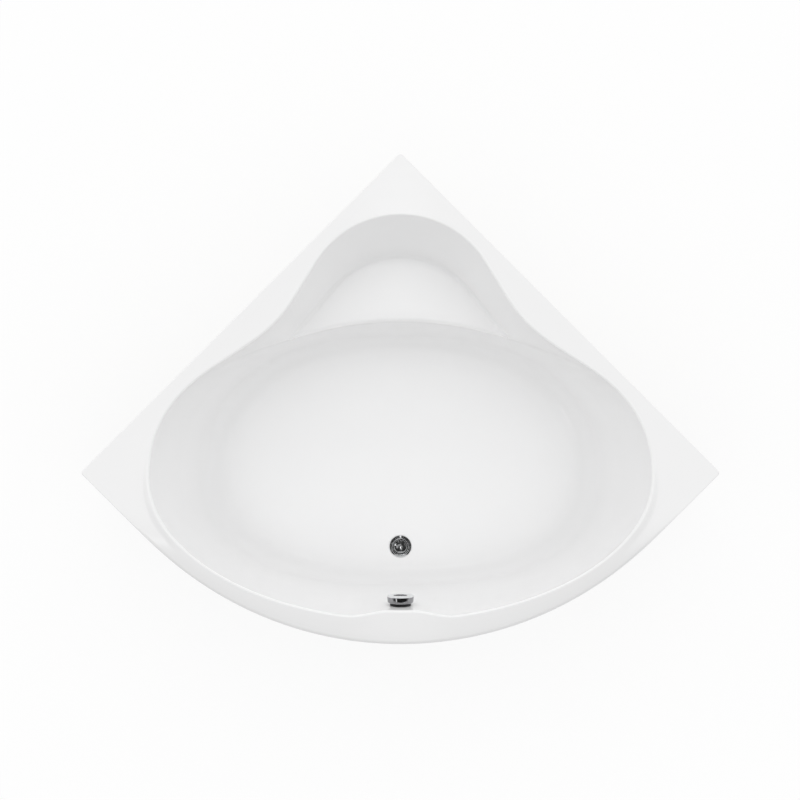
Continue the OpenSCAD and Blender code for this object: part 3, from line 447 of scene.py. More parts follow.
def new_piece(name, points, faces, finishes, body, slot, replaced, place=None, tones=None,
              crease=35.0):
    mesh = new_mesh(name, points, faces)
    if tones:
        mesh.polygons.foreach_set("material_index", tones)
    mesh.validate()
    mesh.shade_smooth()
    mesh.set_sharp_from_angle(angle=radians(crease))
    for finish in finishes:
        mesh.materials.append(finish)
    piece = placed(name, mesh, place)
    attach(piece, body)
    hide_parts(*replaced)
    return piece


def dress(finish, *nodes):
    """Gives carried-over nodes of the packed model their finish"""
    for node in nodes:
        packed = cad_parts[node]
        packed.data.materials.clear()
        packed.data.materials.append(finish)


def flipped(faces):
    return [tuple(reversed(face)) for face in faces]


def tube_faces(rings, sides, ends="open"):
    """Faces between a row of rings, with open, capped or joined ends"""
    faces = []
    for i in range(rings if ends == "joined" else rings - 1):
        p, q = i * sides, (i + 1) % rings * sides
        faces += [(p + k, p + (k + 1) % sides, q + (k + 1) % sides, q + k) for k in range(sides)]
    if ends == "capped":
        faces += [tuple(reversed(range(sides))), tuple(range(q, q + sides))]
    return faces


def ring_round(centre, across, up, radius, sides):
    return [centre + radius * (cos(2 * pi * k / sides) * across + sin(2 * pi * k / sides) * up)
            for k in range(sides)]


def level_ring(radius, z, sides):
    return ring_round(Vector((0, 0, z)), ACROSS, BACK, radius, sides)


TURNED_SIDES = 160


def turned(profile, sides=TURNED_SIDES, ends="capped"):
    """Points and faces of a profile of radius and height, turned about +Z"""
    points = [p for r, z in profile for p in level_ring(r, z, sides)]
    return points, tube_faces(len(profile), sides, ends)


def rounding(centre_r, centre_z, radius, start, end, steps=6):
    """Profile points of a rounded edge, with the angles in degrees"""
    turn = [radians(start + (end - start) * j / steps) for j in range(steps + 1)]
    return [(centre_r + radius * cos(t), centre_z + radius * sin(t)) for t in turn]


def add_part(points, faces, more_points, more_faces):
    start = len(points)
    points += more_points
    faces += [tuple(v + start for v in face) for face in more_faces]


# Moulded shell

class ShellForm:
    """The shell's surfaces along rays from the middle of its square plan"""

    FULLNESS = {"low": (2.45, 2.3), "seat": (2.25, 2.05), "rim": (2.01, 2.18)}
    LEAN_REACH = 0.04   # height over which the lean at the wall's foot is measured
    SEAT_START = 0.04   # width of the seat where its edges reach full size
    BELLIES = (0.01, 0.003, 0.038)  # swell of sides, front and riser at seat height
    BEAD_SLOPE = (0.009, 0.026)     # width beside the bead, at the sides and at the front
    STRAIGHT = 0.75     # share of the front rim's fall that is straight
    SLANT = 1.08        # level width of the leaning sheet, per thickness
    CORNER_STEPS = (0.0015, 0.003, 0.0045, 0.006, 0.0072, 0.0085)

    def __init__(self, scene):
        s = self.s = scene.bath_shell
        self.diag = s.wall_side / sqrt(2)
        plan = 2 * self.diag - s.front_radius * (sqrt(2) - 1)
        self.front_y = -plan / 2
        self.mid_y = plan / 2 - self.diag
        self.arc_y = self.mid_y - self.diag + s.front_radius * sqrt(2)
        self.floor_z = s.rim_height - s.depth
        self.seat_z = s.rim_height - s.seat_depth
        self.seat_low, self.seat_top = self.seat_z - s.seat_edge, self.seat_z + s.seat_fillet
        self.seat_share = 1 - s.seat_depth / s.depth
        rim = (self.diag - s.rim_side, self.mid_y - self.front_y - s.rim_front, self.diag - s.basin_back)
        runs = (s.side_run, s.front_run, s.riser_run)
        low = [half - run for half, run in zip(rim, runs)]
        seat = [half + run * self.seat_share + belly for half, run, belly in zip(low, runs, self.BELLIES)]
        self.halves = {"rim": rim, "low": low, "seat": seat}
        self.waste_y = self.front_y + s.waste_in

    def fold(self, a):
        """Degrees from the side corners to the ray, towards the front"""
        return degrees(atan2(-sin(a), abs(cos(a))))

    def edge(self, a, inset=0.0):
        """Distance to the outer edge, with the corners rounded"""
        r = self.s.front_radius - inset
        q, d = r / sqrt(2), self.arc_y - self.mid_y
        if radians(self.fold(a)) > atan2(q - d, q):
            return d * sin(a) + sqrt(r * r - (d * cos(a)) ** 2)
        half = self.diag - inset * sqrt(2)
        c = max(self.s.corner_radius - inset, 0.0005)
        off = min(abs(atan2(sin(a - k), cos(a - k))) for k in (0.0, pi / 2, pi))
        middle = half - c * sqrt(2)
        if off < atan2(c / sqrt(2), middle + c / sqrt(2)):
            return middle * cos(off) + sqrt(c * c - (middle * sin(off)) ** 2)
        return half / (abs(cos(a)) + abs(sin(a)))

    def oval(self, a, name):
        half_long, *half_wide = self.halves[name]
        back = int(sin(a) >= 0)
        n = self.FULLNESS[name][back]
        return ((abs(cos(a)) / half_long) ** n + (abs(sin(a)) / half_wide[back]) ** n) ** (-1 / n)

    def rise(self, z):
        return (z - self.floor_z) / self.s.depth

    def oval_wall(self, a, z):
        t, s = self.rise(z), self.seat_share
        return (self.oval(a, "low") * (t - s) * (t - 1) / s
                + self.oval(a, "seat") * t * (t - 1) / (s * (s - 1))
                + self.oval(a, "rim") * t * (t - s) / (1 - s))

    def seat_out(self, a, u):
        """Distance to the seat's back, at a share of its height"""
        s = self.s
        r = s.seat_radius - s.seat_taper * (1 - u)
        c = self.diag - s.rim_back - s.seat_run * (1 - u) - r
        b = mix(s.flank_low, s.flank_top, u)
        f = -radians(self.fold(a))
        if f <= 0:
            return 0.0
        if f >= atan2(c + r * sin(b), r * cos(b)):
            return c * sin(f) + sqrt(r * r - (c * cos(f)) ** 2)
        return (c * sin(b) + r) / cos(max(f, b) - b)

    def bulge(self, a, z):
        if sin(a) > 0:
            return 0.0
        s = self.s
        x = abs(cos(a)) * self.oval(a, "rim")
        return s.bulge * self.rise(z) * (1 - ease((x - s.bulge_flat) / (s.bulge_half - s.bulge_flat)))

    def wall(self, a, z):
        u = (z - self.seat_z) / self.s.seat_depth
        w = self.oval_wall(a, z)
        if u >= 0:
            o, k = self.seat_out(a, u), self.s.blend * u
            h = max(k - abs(w - o), 0.0) / max(k, 1e-6)
            w = max(w, o) + h * h * k / 4
        return w - self.bulge(a, z)

    def lip_share(self, a):
        """Share of the front lip's height"""
        return ease((self.fold(a) + 6) / 20)

    def crown(self, a):
        """How far the rim is one bow and not a flat with a bead"""
        return ease((self.fold(a) - 7) / 15)

    def lift(self, a, r, z):
        """Height after the floor's fall towards the waste"""
        away = sqrt((r * cos(a)) ** 2 + (r * sin(a) + self.mid_y - self.waste_y) ** 2)
        fade = clamp((self.seat_low - z) / (self.seat_z - self.floor_z), 0, 1)
        return z + away * self.s.fall * fade

    def foot(self, a, steps):
        """Along the turn between floor and wall"""
        r, wall = self.s.fillet + self.s.fillet_extra * cos(a) ** 2, self.wall(a, self.floor_z)
        lean = atan2(self.LEAN_REACH, self.wall(a, self.floor_z + self.LEAN_REACH) - wall)
        start = wall - r * tan(lean / 2)
        return [(start + r * sin(t), self.floor_z + r * (1 - cos(t))) for t in spaced(0, lean, steps, 0)]

    def seat_line(self, a):
        """Across the seat, from its front edge to the foot of its back"""
        s = self.s
        near, far = self.oval_wall(a, self.seat_z), self.seat_out(a, 0.0)
        share = clamp((far - near) / self.SEAT_START, 0.0, 1.0)
        edge, turn = s.seat_edge * share, far - 0.6 * s.seat_fillet * share
        end = self.wall(a, self.seat_top)
        shelf = [(near + edge * (1 - cos(t)), self.seat_z - edge * (1 - sin(t)))
                 for t in spaced(0, pi / 2, 5)]
        shelf += [(r, self.seat_z) for r in spaced(near + edge, turn, 8)]
        shelf += [(mix(mix(turn, far, t), mix(far, end, t), t), self.seat_z + s.seat_fillet * t * t)
                  for t in spaced(0, 1, 6)]
        levels = spaced(self.seat_low, self.seat_top, len(shelf))
        return [(mix(self.wall(a, level), r, share), mix(level, z, share))
                for level, (r, z) in zip(levels, shelf)]

    def wall_line(self, a, low, high, steps):
        return [(self.wall(a, z), z) for z in spaced(low, high, steps)]

    def top(self, a):
        """Over the whole upper side, from the floor to the turned-down edge"""
        foot = self.foot(a, 9)
        return ([(r, self.floor_z) for r in spaced(0, foot[0][0], 5)] + foot[1:]
                + self.wall_line(a, foot[-1][1], self.seat_low, 8) + self.seat_line(a)
                + self.wall_line(a, self.seat_top, self.lip_top(a) - self.s.inner_edge, 12)
                + self.rim(a))

    def lip_top(self, a):
        return self.s.rim_height + self.s.lip * self.lip_share(a)

    def nose(self, a):
        return mix(self.s.wall_edge, self.s.front_edge, self.crown(a))

    def rim(self, a):
        """Over the rim: a bead and a flat at the sides, one round back along the front"""
        s = self.s
        r, base, z, edge = s.inner_edge, s.rim_height, self.lip_top(a), self.edge(a)
        below = 0.02
        turn = atan2(self.wall(a, z - r) - self.wall(a, z - r - below), below)
        inner = self.wall(a, z - r * (1 - sin(turn))) + r * cos(turn)
        line = [(inner - r * cos(t), z - r * (1 - sin(t))) for t in spaced(turn, pi / 2, 6, 0)]
        slope_end = inner + min(edge - s.wall_edge - inner - 0.002,
                                mix(*self.BEAD_SLOPE, self.lip_share(a)))
        turn_start = max(slope_end + 0.001, edge - s.front_edge)
        across = spaced(inner, slope_end, 14) + spaced(slope_end, turn_start, 5)
        across += [mix(turn_start, edge, sin(t)) for t in spaced(0, pi / 2, 10)]
        for x in across:
            out, past = (x - inner) / (edge - inner), min(1.0, (x - inner) / (slope_end - inner))
            turned_in = max(0.0, x - edge + s.wall_edge) / s.wall_edge
            flat = (mix(base, z, (1 + cos(pi * past)) / 2)
                    - s.wall_edge * (1 - sqrt(max(0.0, 1 - turned_in ** 2))))
            fall = mix(1 - sqrt(max(0.0, 1 - out * out)), out, self.STRAIGHT)
            dome = (mix(z, base - s.front_edge, fall)
                    - s.turn_drop * max(0.0, 1 - (edge - x) / s.front_turn) ** 1.5)
            line.append((x, mix(flat, dome, self.crown(a))))
        return line + [(edge, level) for level in spaced(line[-1][1], base - s.edge_height, 3)]

    def under(self, a):
        """Over the underside, from the turned-down edge to the floor"""
        s = self.s
        level, out, nose = s.rim_height - s.sheet, self.SLANT * s.sheet, self.nose(a)
        bevel = self.edge(a, s.sheet + nose * (1 + self.crown(a) / 4))
        edge = self.edge(a, s.sheet)
        line = [(edge, s.rim_height - s.edge_height), (edge, level - nose), (bevel, level)]
        line += [(r, level) for r in spaced(bevel, self.wall(a, level) + out, 6)]
        line += [(self.wall(a, z) + out, z - s.sheet * j / 8)
                 for j, z in enumerate(spaced(level, self.seat_top, 8), 1)]
        foot = self.foot(a, 7)
        above = (self.seat_line(a)[-2::-1] + self.wall_line(a, self.seat_low, foot[-1][1], 6)
                 + foot[-2::-1])
        line += [(r + out, z - s.sheet) for r, z in above]
        return line + [((foot[0][0] + out) / 2, self.floor_z - s.sheet)]

    def overflow(self):
        """Place of the overflow, with +Z along the wall's own normal"""
        z, a, reach = self.s.rim_height - self.s.overflow_drop, -pi / 2, 0.005
        lean = atan((self.wall(a, z + reach) - self.wall(a, z - reach)) / (2 * reach))
        return (Matrix.Translation((0, self.mid_y - self.wall(a, z), z))
                @ Matrix.Rotation(lean - pi / 2, 4, "X"))

    def angles(self):
        """Even rays all round, and more beside the corners"""
        rays = {2 * pi * k / self.s.rays for k in range(self.s.rays)}
        rays |= {(corner + side * off) % (2 * pi) for corner in (0.0, pi / 2, pi)
                 for side in (-1, 1) for off in self.CORNER_STEPS}
        return sorted({round(ray, 6) for ray in rays})


def drill(piece, radius, low, high, place):
    """Takes a round hole out of a piece and keeps its finishes"""
    core = placed("core", new_mesh("core", *turned([(radius, low), (radius, high)], 96)), place)
    cut = piece.modifiers.new("hole", "BOOLEAN")
    cut.operation = "DIFFERENCE"
    cut.solver = "EXACT"
    cut.object = core
    bpy.context.view_layer.update()
    graph = bpy.context.evaluated_depsgraph_get()
    mesh = bpy.data.meshes.new_from_object(piece.evaluated_get(graph))
    piece.modifiers.clear()
    piece.data = mesh
    bpy.data.objects.remove(core)


class BATH_OT_shell(Operator):
    """Make the moulded shell, glossy above and glass fibre below"""
    bl_idname = "bath.shell"
    bl_label = "Moulded shell"

    def execute(self, context):
        form = ShellForm(context.scene)
        s, rays = form.s, form.angles()
        tops = [form.top(a) for a in rays]
        lines = [line + form.under(a) for a, line in zip(rays, tops)]
        n, above, stations = len(rays), len(tops[0]), len(lines[0])
        points = [(r * cos(a), r * sin(a) + form.mid_y, form.lift(a, r, z) if i < above else z)
                  for i in range(stations) for a, (r, z) in zip(rays, (line[i] for line in lines))]
        first, last, base = len(points), len(points) + 1, len(points) - n
        points += [(0, form.mid_y, form.lift(0, 0, form.floor_z)),
                   (0, form.mid_y, form.floor_z - s.sheet)]
        faces = tube_faces(stations, n)
        tones = [int(k >= above * n) for k in range(len(faces))] + [0] * n + [1] * n
        faces += [(first, (k + 1) % n, k) for k in range(n)]
        faces += [(last, base + k, base + (k + 1) % n) for k in range(n)]
        shell = new_piece("moulded_shell", points, flipped(faces), [gloss_acrylic(), glass_fibre()],
                          "bath", "white_acrylic", ["tub_shell"], tones=tones)
        waste = Matrix.Translation((0, form.waste_y, form.floor_z))
        reach, clear = 0.02, 0.0175
        drill(shell, s.waste_hole / 2, -reach, reach, waste)
        drill(shell, s.waste_recess / 2, -s.recess_depth, clear, waste)
        drill(shell, s.overflow_hole / 2, -reach, reach, form.overflow())
        shell.data.set_sharp_from_angle(angle=radians(32))
        return {"FINISHED"}


class BATH_OT_apron(Operator):
    """Make the bowed apron with rolled edges, and dress its tongues and clips"""
    bl_idname = "bath.apron"
    bl_label = "Front apron"

    def execute(self, context):
        form = ShellForm(context.scene)
        section = self.section(context.scene.bath_fittings.apron_bend)
        inset, gap, end_steps, bow_steps = 0.003, 0.02, 15, 66

        def outline(depth):
            """The bow of the front, drawn in by a depth, between its two straight ends"""
            r = form.s.front_radius - inset - depth
            half = form.diag - (inset + depth) * sqrt(2)
            end = [(half + y - form.mid_y, y)
                   for y in spaced(form.arc_y - r / sqrt(2), form.mid_y - gap, end_steps, 0)]
            bow = [(r * cos(t), form.arc_y + r * sin(t))
                   for t in spaced(pi * 5 / 4, pi * 7 / 4, bow_steps)[:-1]]
            return [(-x, y) for x, y in reversed(end)] + bow + end

        rows = list(zip(*(outline(depth) for depth, z in section)))
        points = [(x, y, z) for row in rows for (x, y), (depth, z) in zip(row, section)]
        new_piece("bowed_apron", points, flipped(tube_faces(len(rows), len(section), "capped")),
                  [gloss_acrylic()], "apron", "white_acrylic", ["front_apron"])
        dress(white_plastic(), "apron_tongues")
        dress(black_plastic(), "apron_clips")
        return {"FINISHED"}

    def section(self, bend):
        """Depth and height of points round the sheet and its flanges"""
        low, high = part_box("front_apron")
        sheet, flange, lip, round_off = 0.003, 0.015, 0.0006, 0.001
        out, back = [], []
        for z, way in ((low.z, 1), (high.z, -1)):
            line = [(flange, z + way * lip), (flange - round_off, z)]
            line += [(bend * (1 - sin(t)), z + way * bend * (1 - cos(t)))
                     for t in spaced(0, pi / 2, 6, 0)]
            inner = [(flange, z + way * sheet), (sheet, z + way * sheet)]
            out += line[::way]
            back += inner[::way]
        return out + back[::-1]


class BATH_OT_frame(Operator):
    """Dress the frame, its pads and caps, and the board"""
    bl_idname = "bath.frame"
    bl_label = "Frame and board"

    def execute(self, context):
        dress(powder_coat(), "side_rail", "back_rail", "front_rail_left", "front_rail_right",
              *(f"post_{place}" for place in PLACES))
        dress(chipboard(), "base_board")
        dress(black_rubber(), "rim_pads")
        dress(black_plastic(), "rail_end_caps")
        dress(zinc_plate(), "leg_sockets", "board_screws", *(f"wall_bracket_{k}" for k in (1, 2, 3, 4)))
        return {"FINISHED"}


class BATH_OT_legs(Operator):
    """Make the threaded legs, and dress their nuts and foot pads"""
    bl_idname = "bath.legs"
    bl_label = "Adjustable legs"

    def execute(self, context):
        sizes = context.scene.bath_fittings
        hexagon_z = 0.0143
        for place in PLACES:
            node = f"leg_screw_{place}"
            low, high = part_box(node)
            middle = (low + high) / 2
            points, faces = self.thread(high.z - low.z, sizes.thread_pitch, sizes.thread_depth)
            add_part(points, faces, *self.hexagon(hexagon_z - low.z))
            new_piece(f"threaded_leg_{place}", points, faces, [zinc_plate()], f"leg_{place}",
                      "zinc_steel", [node], Matrix.Translation((middle.x, middle.y, low.z)), crease=50)
        dress(zinc_plate(), *(f"lock_nut_{place}" for place in PLACES))
        dress(black_plastic(), *(f"foot_pad_{place}" for place in PLACES))
        return {"FINISHED"}

    def thread(self, tall, pitch, depth):
        """Rod with a thread: three rows of points that climb round it, and its two ends"""
        sides, crest, core = 20, 0.006, 0.0054 - depth
        root, turns = crest - depth, int((tall - 1.5 * pitch) / pitch)
        last = turns * sides
        points = [Vector()] + level_ring(core, 0, sides)
        start = len(points)
        for i in range(last + 1):
            t, z = 2 * pi * i / sides, pitch * (0.25 + i / sides)
            points += [Vector((r * cos(t), r * sin(t), z + up * pitch))
                       for r, up in ((root, 0.0), (crest, 0.4), (crest, 0.55))]
        top = len(points)
        points += level_ring(core, tall, sides) + [Vector((0, 0, tall))]
        faces = [(0, 1 + (k + 1) % sides, 1 + k) for k in range(sides)]
        for i in range(last):
            p, q = start + 3 * i, start + 3 * (i + 1)
            faces += [(p, q, q + 1, p + 1), (p + 1, q + 1, q + 2, p + 2)]
            if i + sides < last:
                faces.append((p + 2, q + 2, q + 3 * sides, p + 3 * sides))
        faces += [(1 + i, 1 + (i + 1) % sides, start + 3 * i + 3, start + 3 * i) for i in range(sides)]
        for i in range(sides):
            p, here, ahead = start + 3 * (last - sides + i), top + i, top + (i + 1) % sides
            faces += [(p + 2, p + 5, ahead, here), (here, ahead, top + sides)]
        return points, faces

    def hexagon(self, low):
        """Hexagon with its corners turned down"""
        sides, half_wide, corner, bore, tall, turned_down = 24, 0.010, 0.0085, 0.0056, 0.006, 0.0007
        points, lower = [], [(bore, 0.0), (corner, 0.0), (half_wide, turned_down)]
        for most, z in lower + [(r, tall - z) for r, z in reversed(lower)]:
            for k in range(sides):
                t = 2 * pi * k / sides
                r = min(most, half_wide * cos(pi / 6) / cos(t % (pi / 3) - pi / 6))
                points.append(Vector((r * cos(t), r * sin(t), low + z)))
        return points, tube_faces(6, sides)


class BATH_OT_waste(Operator):
    """Make the flange and the plug, and dress the waste below them"""
    bl_idname = "bath.waste"
    bl_label = "Waste and plug"

    def execute(self, context):
        form, sizes = ShellForm(context.scene), context.scene.bath_fittings
        place = Matrix.Translation((0, form.waste_y, 0))
        new_piece("turned_flange", *self.flange(sizes), [chrome_plate()], "bath", "chrome",
                  ["waste_flange"], place, crease=28)
        new_piece("domed_plug", *self.plug(sizes.plug / 2), [chrome_plate()], "plug", "chrome",
                  ["plug_cap"], place, crease=28)
        dress(plain_brass(), "plug_stem", "lift_lever")
        dress(black_rubber(), "flange_gasket", "floor_gasket", "plug_seal")
        dress(white_plastic(), "waste_body")
        return {"FINISHED"}

    def flange(self, sizes):
        """Ring with a sloping, grooved face, its neck, and the spider that guides the stem"""
        low, high = (corner.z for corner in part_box("waste_flange"))
        out, bore, neck, mouth = sizes.flange / 2, 0.0205, 0.0255, sizes.plug / 2 + 0.0022
        seat, crown, slope, groove, edge = high - 0.003, mouth + 0.003, 0.0011, 0.00025, 0.0008
        face = [(mix(out - 0.0005, crown, v), high - slope * (1 - v) * (1.15 - 0.15 * v))
                for v in spaced(0, 1, 12, 0)]
        face[7] = (face[7][0], face[7][1] - groove)
        profile = [(bore, low), (neck, low), (neck, seat), (out, seat), (out, high - 0.0017)]
        profile += face + rounding(mouth + edge, high - edge, edge, 90, 180)
        profile += [(mouth - edge, seat - 0.003), (bore, seat - 0.007)]
        points, faces = turned(profile, ends="joined")
        guide, stem, under, over, arm, half = 0.006, 0.00308, 0.004, 0.012, 0.010, 0.0015
        ring = [(r, low + z) for r, z in ((stem, under), (guide, under), (guide, over), (stem, over))]
        add_part(points, faces, *turned(ring, 48, "joined"))
        for k in range(3):
            t = radians(120 * k + 90)
            along, across = Vector((cos(t), sin(t), 0)), Vector((-sin(t), cos(t), 0)) * half
            ends = [p * along + side * across + Vector((0, 0, low + z)) for p in (0.004, bore + 0.0005)
                    for side, z in ((-1, under), (1, under), (1, arm), (-1, arm))]
            add_part(points, faces, ends, tube_faces(2, 4, "capped"))
        return points, faces

    def plug(self, r):
        """Cap with a low dome and a round edge, on a short boss"""
        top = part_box("plug_cap")[1].z
        low, edge, stem, boss, bevel, dome = top - 0.0065, 0.0025, 0.0033, 0.005, 0.001, 0.001
        inside, foot = low - 0.0005, low - 0.0035
        profile = [(stem, inside), (stem, foot), (boss, foot), (boss, low),
                   (r - bevel, low), (r, low + bevel)]
        profile += rounding(r - edge, low + 0.003, edge, 0, 84, 8)
        return turned(profile + domed(r - edge, top, dome, 16))


def domed(radius, top, drop, steps):
    """Profile of a shallow dome, from its edge nearly to its middle"""
    return [(radius * v, top - drop * v * v) for v in spaced(1.0, 0.01, steps, 0)]


class BATH_OT_trap(Operator):
    """Dress the trap and its outlet"""
    bl_idname = "bath.trap"
    bl_label = "Trap"

    def execute(self, context):
        dress(white_plastic(), "trap_inlet_nut", "trap_bend", "cleanout_cap", "trap_outlet_nut",
              "outlet_pipe")
        return {"FINISHED"}


class BATH_OT_overflow(Operator):
    """Make the knob, and dress the overflow behind it"""
    bl_idname = "bath.overflow"
    bl_label = "Overflow"

    def execute(self, context):
        form, sizes = ShellForm(context.scene), context.scene.bath_fittings
        back, front, wall = sizes.knob_gap, sizes.knob_gap + sizes.knob_thick, 0.003
        edge, dome, tuck, step = 0.001, 0.003, 0.0035, 0.0015
        wide, narrow = sizes.knob / 2, sizes.knob / 2 - sizes.knob_taper
        roof, boss, bore, stop = front - 0.008, 0.009, 0.0043, front - 0.006
        hollow = [(bore, stop), (bore, back), (boss, back), (boss, roof),
                  (wide - wall - 0.001, roof), (narrow - wall + 0.0003, back)]
        side = [(narrow - 0.001, back)] + rounding(wide - step - tuck, back + tuck, tuck, -76, -4, 10)
        face = rounding(wide - edge, front - dome - edge, edge, 0, 78)
        points, faces = turned(hollow + side + face + domed(wide - edge, front, dome, 20))
        # The faces of the knob's side take the darker chrome, which paints shade on them
        start, end = len(hollow) * TURNED_SIDES, len(hollow + side) * TURNED_SIDES
        tones = [int(start <= k < end) for k in range(len(faces))]
        new_piece("turned_knob", points, faces, [chrome_plate(), shade_painted_chrome()], "knob", "chrome",
                  ["overflow_knob"], form.overflow(), tones, 28)
        # The ring behind the knob is made near black: painted shade of the gap under the knob
        dress(painted_shade_black(), "overflow_rosette")
        dress(plain_brass(), "knob_spindle")
        dress(black_rubber(), "overflow_gasket")
        dress(white_plastic(), "overflow_body", "hose_nuts")
        return {"FINISHED"}


class BATH_OT_hose(Operator):
    """Make the ribbed hose from the overflow to the waste"""
    bl_idname = "bath.hose"
    bl_label = "Ribbed hose"

    WAVE = (1.0, 0.86, 0.1, 0.0, 0.1, 0.86)

    def execute(self, context):
        sizes = context.scene.bath_fittings
        low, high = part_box("overflow_hose")
        crest, rib, pitch, bend, cuff, bore = 0.017, 0.0025, 0.007, 0.06, 0.022, 0.012
        half = crest * cos(pi / 8)
        start_y, level_z = low.y + half, low.z + half
        down, turn = high.z - level_z - bend, bend * pi / 2
        full = down + turn + high.y - start_y - bend
        ribs = floor((full - 2 * cuff) / pitch)
        first = (full - ribs * pitch) / 2

        def ring_at(s, radius):
            t = clamp((s - down) / turn, 0.0, 1.0) * pi / 2
            centre = Vector((0, start_y + bend * (1 - cos(t)) + max(s - down - turn, 0.0),
                             high.z - min(s, down) - bend * sin(t)))
            return ring_round(centre, ACROSS, Vector((0, cos(t), sin(t))), radius, sizes.hose_sides)

        line = [(0.0, bore), (0.0, crest)]
        for i in range(ribs * sizes.rib_steps + 1):
            step, part = divmod(i * len(self.WAVE) / sizes.rib_steps, 1)
            here, ahead = (self.WAVE[int(step + k) % len(self.WAVE)] for k in (0, 1))
            line.append((first + i * pitch / sizes.rib_steps, crest - rib + rib * mix(here, ahead, part)))
        line += [(full, crest), (full, bore)] + [(s, bore) for s in spaced(full, 0.0, 24)[:-1]]
        points = [p for s, radius in line for p in ring_at(s, radius)]
        new_piece("ribbed_hose", points, tube_faces(len(line), sizes.hose_sides, "joined"),
                  [hose_plastic()], "bath", "hose_plastic", ["overflow_hose"], crease=60)
        return {"FINISHED"}


class BATH_OT_cable(Operator):
    """Make the control cable between the knob and the lift lever"""
    bl_idname = "bath.cable"
    bl_label = "Control cable"

    def execute(self, context):
        sides = context.scene.bath_fittings.cable_sides
        low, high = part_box("control_cable")
        radius, end_z = 0.0025, 0.139
        y, hose_top = low.y + radius, high.z - 0.005
        route = [Vector(p) for p in (
            (0.016, y, high.z), (0.016, y, hose_top - 0.025), (0.024, y + 0.004, hose_top - 0.08),
            (0.028, y + 0.006, hose_top - 0.14), (0.030, y + 0.008, hose_top - 0.2),
            (0.031, y + 0.012, end_z + 0.11), (0.032, y + 0.022, end_z + 0.07),
            (0.033, y + 0.042, end_z + 0.034), (0.034, y + 0.072, end_z + 0.012),
            (0.035, y + 0.108, end_z + 0.002), (0.036, high.y - 0.028, end_z),
            (0.036, high.y - 0.014, end_z), (0.036, high.y, end_z))]
        line = []
        for i in range(len(route) - 1):
            p0, p1, p2, p3 = (route[clamp(i + k, 0, len(route) - 1)] for k in (-1, 0, 1, 2))
            line += [0.5 * (2 * p1 + (p2 - p0) * t + (2 * p0 - 5 * p1 + 4 * p2 - p3) * t * t
                            + (3 * p1 - p0 - 3 * p2 + p3) * t ** 3) for t in spaced(0, 1, 8, 0)[:-1]]
        line.append(route[-1])
        points = []
        for i, centre in enumerate(line):
            ahead = (line[min(i + 1, len(line) - 1)] - line[max(i - 1, 0)]).normalized()
            across = ACROSS.cross(ahead).normalized()
            points += ring_round(centre, across, ahead.cross(across), radius, sides)
        new_piece("cable_sleeve", points, tube_faces(len(line), sides, "capped"), [black_plastic()],
                  "bath", "black_plastic", ["control_cable"])
        return {"FINISHED"}


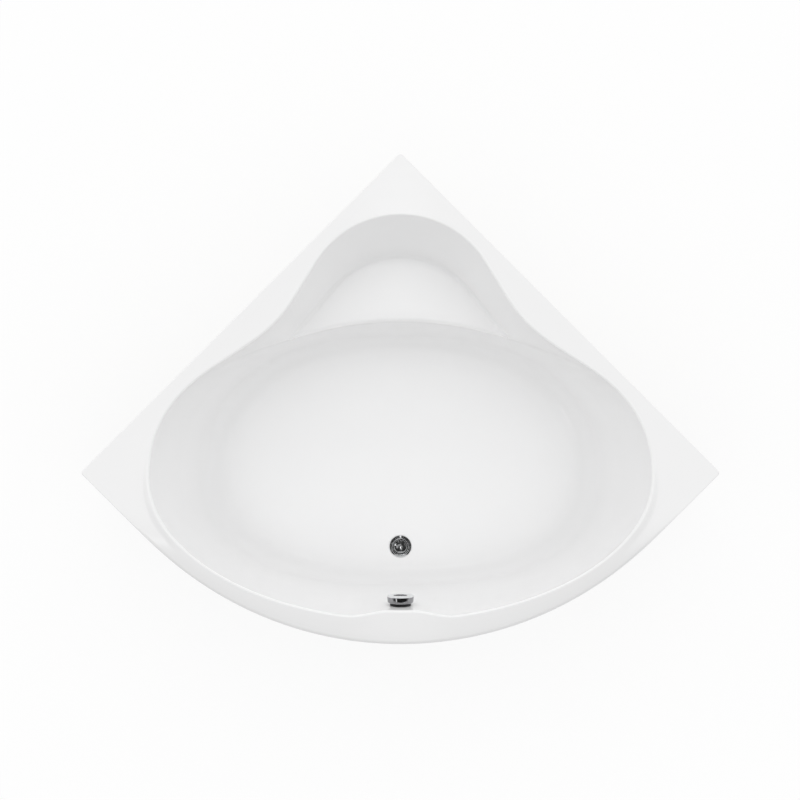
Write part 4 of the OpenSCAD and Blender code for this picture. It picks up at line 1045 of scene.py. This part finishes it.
class BATH_OT_stage(Operator):
    """Make the floor, the light and the camera"""
    bl_idname = "bath.stage"
    bl_label = "Stage"

    # Lights in the ceiling: middle and half size along X and Y, and how bright
    CEILING_LIGHTS = (
        (0.0, 0.65, 0.11, 0.35, 1.5), (0.03, -0.82, 0.06, 0.16, 1.5), (-0.72, -0.42, 0.08, 0.16, 1.2),
        (-0.8, -1.15, 0.1, 0.07, 1.2), (0.95, -0.48, 0.03, 0.4, 0.8), (-1.05, -0.48, 0.03, 0.4, 0.8),
        (0.0, -1.4, 0.4, 0.03, 0.7), (0.0, -1.55, 0.4, 0.03, 0.7), (-2.7, -2.1, 0.5, 0.5, 1.8))
    CEILING_GREYS = (0.03, 0.4)

    def execute(self, context):
        scene, stage = context.scene, context.scene.bath_stage
        self.floor(stage)
        self.ceiling()
        self.light(scene, stage)
        camera = bpy.data.cameras.new("camera")
        camera.clip_end = 60
        camera.lens = (camera.sensor_width * (stage.eye_height - scene.bath_shell.rim_height)
                       / stage.view_width)
        scene.camera = placed("camera", camera,
                              Matrix.Translation((stage.eye_x, stage.eye_y, stage.eye_height)))
        scene.view_settings.view_transform = "Standard"
        return {"FINISHED"}

    def sheet(self, name, half, z, face=(0, 1, 2, 3)):
        """Square sheet of the stage, and the nodes of its material"""
        mesh = new_mesh(name, [(x * half, y * half, z) for x, y in ((-1, -1), (1, -1), (1, 1), (-1, 1))],
                        [face])
        made = placed(name, mesh)
        material, f = new_material(name)
        mesh.materials.append(material)
        return made, f

    def floor(self, stage):
        """White floor that keeps a soft shadow, seen from above only"""
        _, f = self.sheet("studio_floor", 14.0, -0.0005)
        dull, plain = (f.node("BsdfDiffuse", {"Color": (tone,) * 3})
                       for tone in (stage.floor_bounce, 1.0))
        above = f.either(self.seen(f), dull, f.either(stage.floor_white, plain, f.glow(1.0)))
        back = f.node("NewGeometry", out="Backfacing")
        f.surface(f.either(back, above, f.node("BsdfTransparent")))

    def seen(self, f):
        """1 for rays from the camera and those that show in metal and glass"""
        straight, mirrored, through = (f.node("LightPath", out=f"Is {kind} Ray")
                                       for kind in ("Camera", "Glossy", "Transmission"))
        return f.maths("MINIMUM", straight + mirrored + through, 1.0)

    def ceiling(self):
        """Dark ceiling with narrow lights, which only polished surfaces show"""
        made, f = self.sheet("studio_ceiling", 12.0, 4.0, (3, 2, 1, 0))
        for kind in ("camera", "diffuse", "transmission", "shadow", "volume_scatter"):
            setattr(made, f"visible_{kind}", False)
        place = f.place()
        x, y = f.along(place, "X"), f.along(place, "Y")
        from_plug = y + 0.48
        over_plug = f.ramp(x * x + from_plug * from_plug, 0.62, 0.42)
        cloud = f.ramp(f.noise(place, 2.6), 0.48, 0.62) * over_plug
        grey = f.maths("MAXIMUM", f.ramp(abs(x), 5.2, 6.2), cloud)
        shown = f.either(grey, *(f.glow(level) for level in self.CEILING_GREYS))
        for middle_x, middle_y, half_x, half_y, level in self.CEILING_LIGHTS:
            lit = (abs(x - middle_x) < half_x) * (abs(y - middle_y) < half_y)
            shown = f.either(lit, shown, f.glow(level))
        f.surface(shown)

    def light(self, scene, stage):
        """Soft light from all round, stronger from above the room corner than from the front"""
        scene.world = bpy.data.worlds.new("studio")
        scene.world.use_nodes = True
        f = Finish(scene.world.node_tree)
        place = f.place("Generated")
        facing = (f.along(place, "Y") * sin(stage.light_lean)
                  + f.along(place, "Z") * cos(stage.light_lean))
        low, high, plain = (f.glow(level, "Background") for level in (stage.light_low, stage.light_high, 1.0))
        soft = f.either(f.ramp(facing, -0.5, 1.0), low, high)
        f.node("OutputWorld", {"Surface": f.either(self.seen(f), soft, plain)})


class BATH_PT_panel(Panel):
    bl_label = "Corner bathtub"
    bl_idname = "BATH_PT_panel"
    bl_space_type = "VIEW_3D"
    bl_region_type = "UI"
    bl_category = "Bath"

    def draw(self, context):
        for made in OPERATORS:
            self.layout.operator(made.bl_idname)
        for group in GROUPS:
            settings = getattr(context.scene, group)
            box = self.layout.box()
            box.label(text=GROUPS[group].__doc__)
            for name in GROUPS[group].__annotations__:
                box.prop(settings, name)


GROUPS = {"bath_shell": BathShellSizes, "bath_fittings": BathFittingSizes,
          "bath_colours": BathColours, "bath_stage": BathStage}
OPERATORS = (BATH_OT_shell, BATH_OT_apron, BATH_OT_frame, BATH_OT_legs, BATH_OT_waste, BATH_OT_trap,
             BATH_OT_overflow, BATH_OT_hose, BATH_OT_cable, BATH_OT_stage)
CLASSES = (*GROUPS.values(), *OPERATORS, BATH_PT_panel)


def register():
    for made in CLASSES:
        bpy.utils.register_class(made)
    for name, group in GROUPS.items():
        setattr(bpy.types.Scene, name, PointerProperty(type=group))


def unregister():
    for name in GROUPS:
        delattr(bpy.types.Scene, name)
    for made in reversed(CLASSES):
        bpy.utils.unregister_class(made)


def main():
    register()
    for made in OPERATORS:
        group, name = made.bl_idname.split(".")
        getattr(getattr(bpy.ops, group), name)()


if __name__ == "__main__":
    main()
